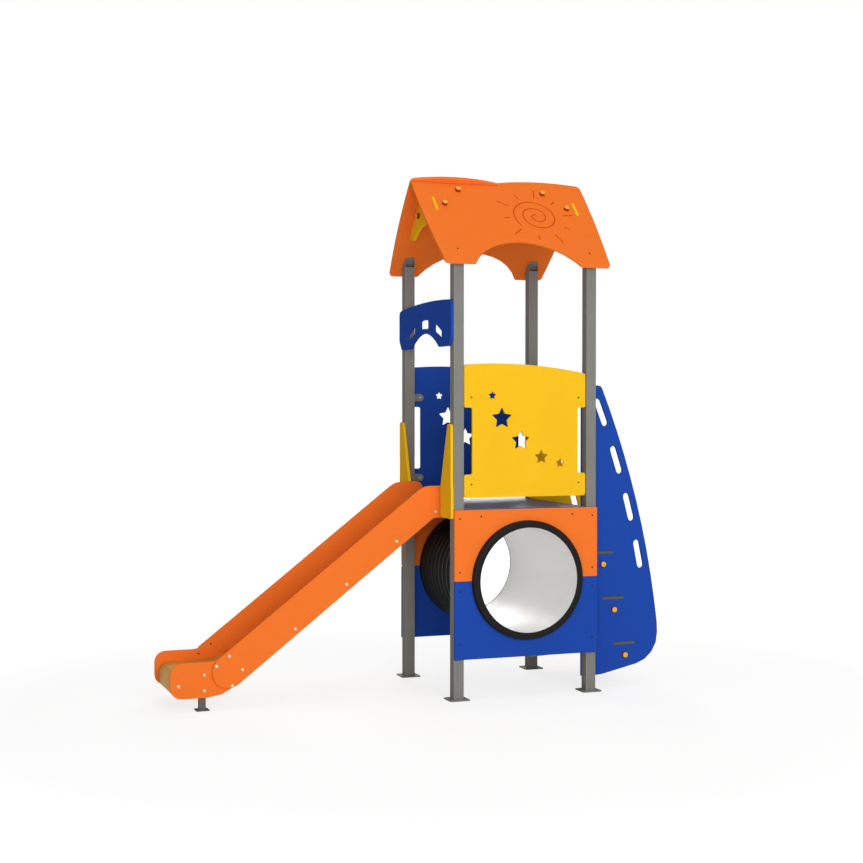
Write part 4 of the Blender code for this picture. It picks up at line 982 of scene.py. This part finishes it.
for word, sideFace, endFace, innerFace, facing in fastener["slideFaces"]:
    places = [((x, sideFace, z), (0, facing, 0)) for x, z in fastener["slideSide"]]
    places += [((x, endFace, z), (0, facing, 0)) for x, z in fastener["slideEnd"]]
    placeCopies(slideBolt, "slideBolts" + word, places, brightSteel)
    screwRow(panelScrew, "slideScrews" + word, fastener["slideInner"], innerFace, -facing, darkSteel)
dropTools(panelScrew, slideBolt)
print("fasteners placed")


# weld beads where the tubes stand on their foot plates

weld = {
    "leg": 0.0045,
    "postHalf": 0.035,
    "postPlate": 0.008,
    "footHalf": 0.020,
    "footPlate": 0.006,
    "slideFootX": -1.5710,
    "slideFootY": (0.2286, 0.6854),
    "wall": 0.9,             # the rest as shares of the leg
    "toe": 0.25,             # height that is left at the outer edge
    "round": 0.25,
}


def weldBead(half, plateTop):
    # a low frame round the tube whose upper outer edge is sloped off, as a fillet weld is
    clearSelection()
    leg = weld["leg"]
    bpy.ops.mesh.primitive_cube_add(size=1.0, location=(0, 0, plateTop + leg / 2))
    bead = bpy.context.object
    bead.scale = (2 * (half + leg), 2 * (half + leg), leg)
    bpy.ops.object.transform_apply(location=True, rotation=True, scale=True)
    bpy.ops.object.mode_set(mode="EDIT")
    bpy.ops.mesh.select_mode(type="FACE")
    chooseFaces(bead, lambda face: abs(face.normal.z) > 0.9)
    bpy.ops.mesh.inset(thickness=leg * weld["wall"])
    bpy.ops.mesh.bridge_edge_loops()
    bpy.ops.object.mode_set(mode="OBJECT")
    mesh = bmesh.new()
    mesh.from_mesh(bead.data)
    for vertex in mesh.verts:
        outer = max(abs(vertex.co.x), abs(vertex.co.y)) > half + leg * 0.5
        if outer and vertex.co.z > plateTop + leg * 0.5:
            vertex.co.z = plateTop + leg * weld["toe"]
    mesh.to_mesh(bead.data)
    mesh.free()
    applyModifier(bead, "BEVEL", width=leg * weld["round"], segments=2, limit_method="ANGLE",
                  angle_limit=math.radians(30))
    return bead


postBead = weldBead(weld["postHalf"], weld["postPlate"])
corners = (0.0, tower["postRight"])
postPlaces = [((x, y, 0.0), (0, 0, 1)) for x in corners for y in corners]
placeCopies(postBead, "postWelds", postPlaces, greySteel)
footBead = weldBead(weld["footHalf"], weld["footPlate"])
footPlaces = [((weld["slideFootX"], y, 0.0), (0, 0, 1)) for y in weld["slideFootY"]]
placeCopies(footBead, "slideFootWelds", footPlaces, darkPaint)
dropTools(postBead, footBead)
print("welds laid")


# CAD nodes that stay keep their shape and get their finish

def coatNode(nodeName, material):
    for holder in nodes[nodeName].material_slots:
        holder.material = material


for nodeName in ("deck_frame", "slide_hanger_near", "slide_hanger_far", "ridge_plate_left",
                 "ridge_plate_right", "tread_rod_1", "tread_rod_2", "tread_rod_3"):
    coatNode(nodeName, zinc)
for nodeName in ("slide_foot_near", "slide_foot_far"):
    coatNode(nodeName, darkPaint)
print("carried-over nodes coated")


# studio: pale floor, soft lamps and the photograph's camera

studio = {
    "cameraPlace": (-3.540, -9.132, 1.879),
    "cameraTurn": (88.868, 0.0, -20.256),    # degrees
    "lens": 65.28,
    "sensor": 36.0,
    "clipEnd": 200.0,
    "ambient": 0.26,
    "lamps": {               # place, size and power
        "key": ((1.0, -9.5, 4.2), 5.0, 297.0),
        "fill": ((-3.0, -9.0, 1.6), 7.0, 415.0),
        "top": ((0.0, -0.5, 8.5), 6.0, 118.0),
        "back": ((2.6, 8.0, 3.8), 4.0, 280.0),
    },
    "aim": (0.1, 0.3, 1.3),
    "floorSize": 80.0,
    "floorRoughness": 0.9,
    "floorTone": "#F2F2F2",
    "floorShown": "#8E8E8E",     # the tone under the shadow that the camera sees, with the lift added
    "floorLift": 0.79,
    "fadeFrom": 2.6,         # metres from the tower at which the floor starts to fade into the backdrop
    "fadeTo": 5.0,
}


def addLamp(name, place, size, power):
    clearSelection()
    bpy.ops.object.light_add(type="AREA", location=place)
    lamp = bpy.context.object
    lamp.name = name
    lamp.data.shape = "DISK"
    lamp.data.size = size
    lamp.data.energy = power
    direction = Vector(studio["aim"]) - Vector(place)
    lamp.rotation_euler = direction.to_track_quat("-Z", "Y").to_euler()


def seenRays(holder):
    # 1 for the rays that the camera sees, straight, mirrored or through a piece
    path = addNode(holder, "ShaderNodeLightPath")
    seen = combine(holder, "MAXIMUM", path.outputs["Is Camera Ray"], path.outputs["Is Glossy Ray"])
    return combine(holder, "MAXIMUM", seen, path.outputs["Is Transmission Ray"])


def buildStudio():
    clearSelection()
    bpy.ops.mesh.primitive_plane_add(size=studio["floorSize"], location=(0, 0, 0))
    floor = bpy.context.object
    floor.name = "studioFloor"
    material = newMaterial("paleFloor", specular=0.0)
    shader = material.node_tree.nodes["Principled BSDF"]
    shader.inputs["Roughness"].default_value = studio["floorRoughness"]
    shown = seenRays(material)
    tone = blend(material, shown, toLinear(studio["floorTone"]), toLinear(studio["floorShown"]))
    material.node_tree.links.new(tone, shader.inputs["Base Color"])
    reach = addNode(material, "ShaderNodeVectorMath", {0: onObject(material)}, operation="LENGTH")
    sockets = {"Value": reach.outputs["Value"], "From Min": studio["fadeFrom"], "From Max": studio["fadeTo"],
               "To Min": studio["floorLift"], "To Max": 1.0}
    fade = addNode(material, "ShaderNodeMapRange", sockets, interpolation_type="SMOOTHSTEP")
    lift = combine(material, "MULTIPLY", shown, fade.outputs["Result"])
    shader.inputs["Emission Color"].default_value = (1.0, 1.0, 1.0, 1.0)
    material.node_tree.links.new(lift, shader.inputs["Emission Strength"])
    floor.data.materials.append(material)

    world = bpy.data.worlds.new("studioWorld")
    bpy.context.scene.world = world
    world.use_nodes = True
    background = world.node_tree.nodes["Background"]
    background.inputs["Color"].default_value = (1.0, 1.0, 1.0, 1.0)
    strength = spread(world, seenRays(world), (studio["ambient"], 1.0))
    world.node_tree.links.new(strength, background.inputs["Strength"])

    for name, (place, size, power) in studio["lamps"].items():
        addLamp(name + "Lamp", place, size, power)

    clearSelection()
    bpy.ops.object.camera_add(location=studio["cameraPlace"],
                              rotation=[math.radians(v) for v in studio["cameraTurn"]])
    camera = bpy.context.object
    camera.data.sensor_width = studio["sensor"]
    camera.data.lens = studio["lens"]
    camera.data.clip_end = studio["clipEnd"]
    bpy.context.scene.camera = camera
    bpy.context.scene.view_settings.view_transform = "Standard"


buildStudio()
print("studio built")

clearSelection()
bpy.context.view_layer.update()
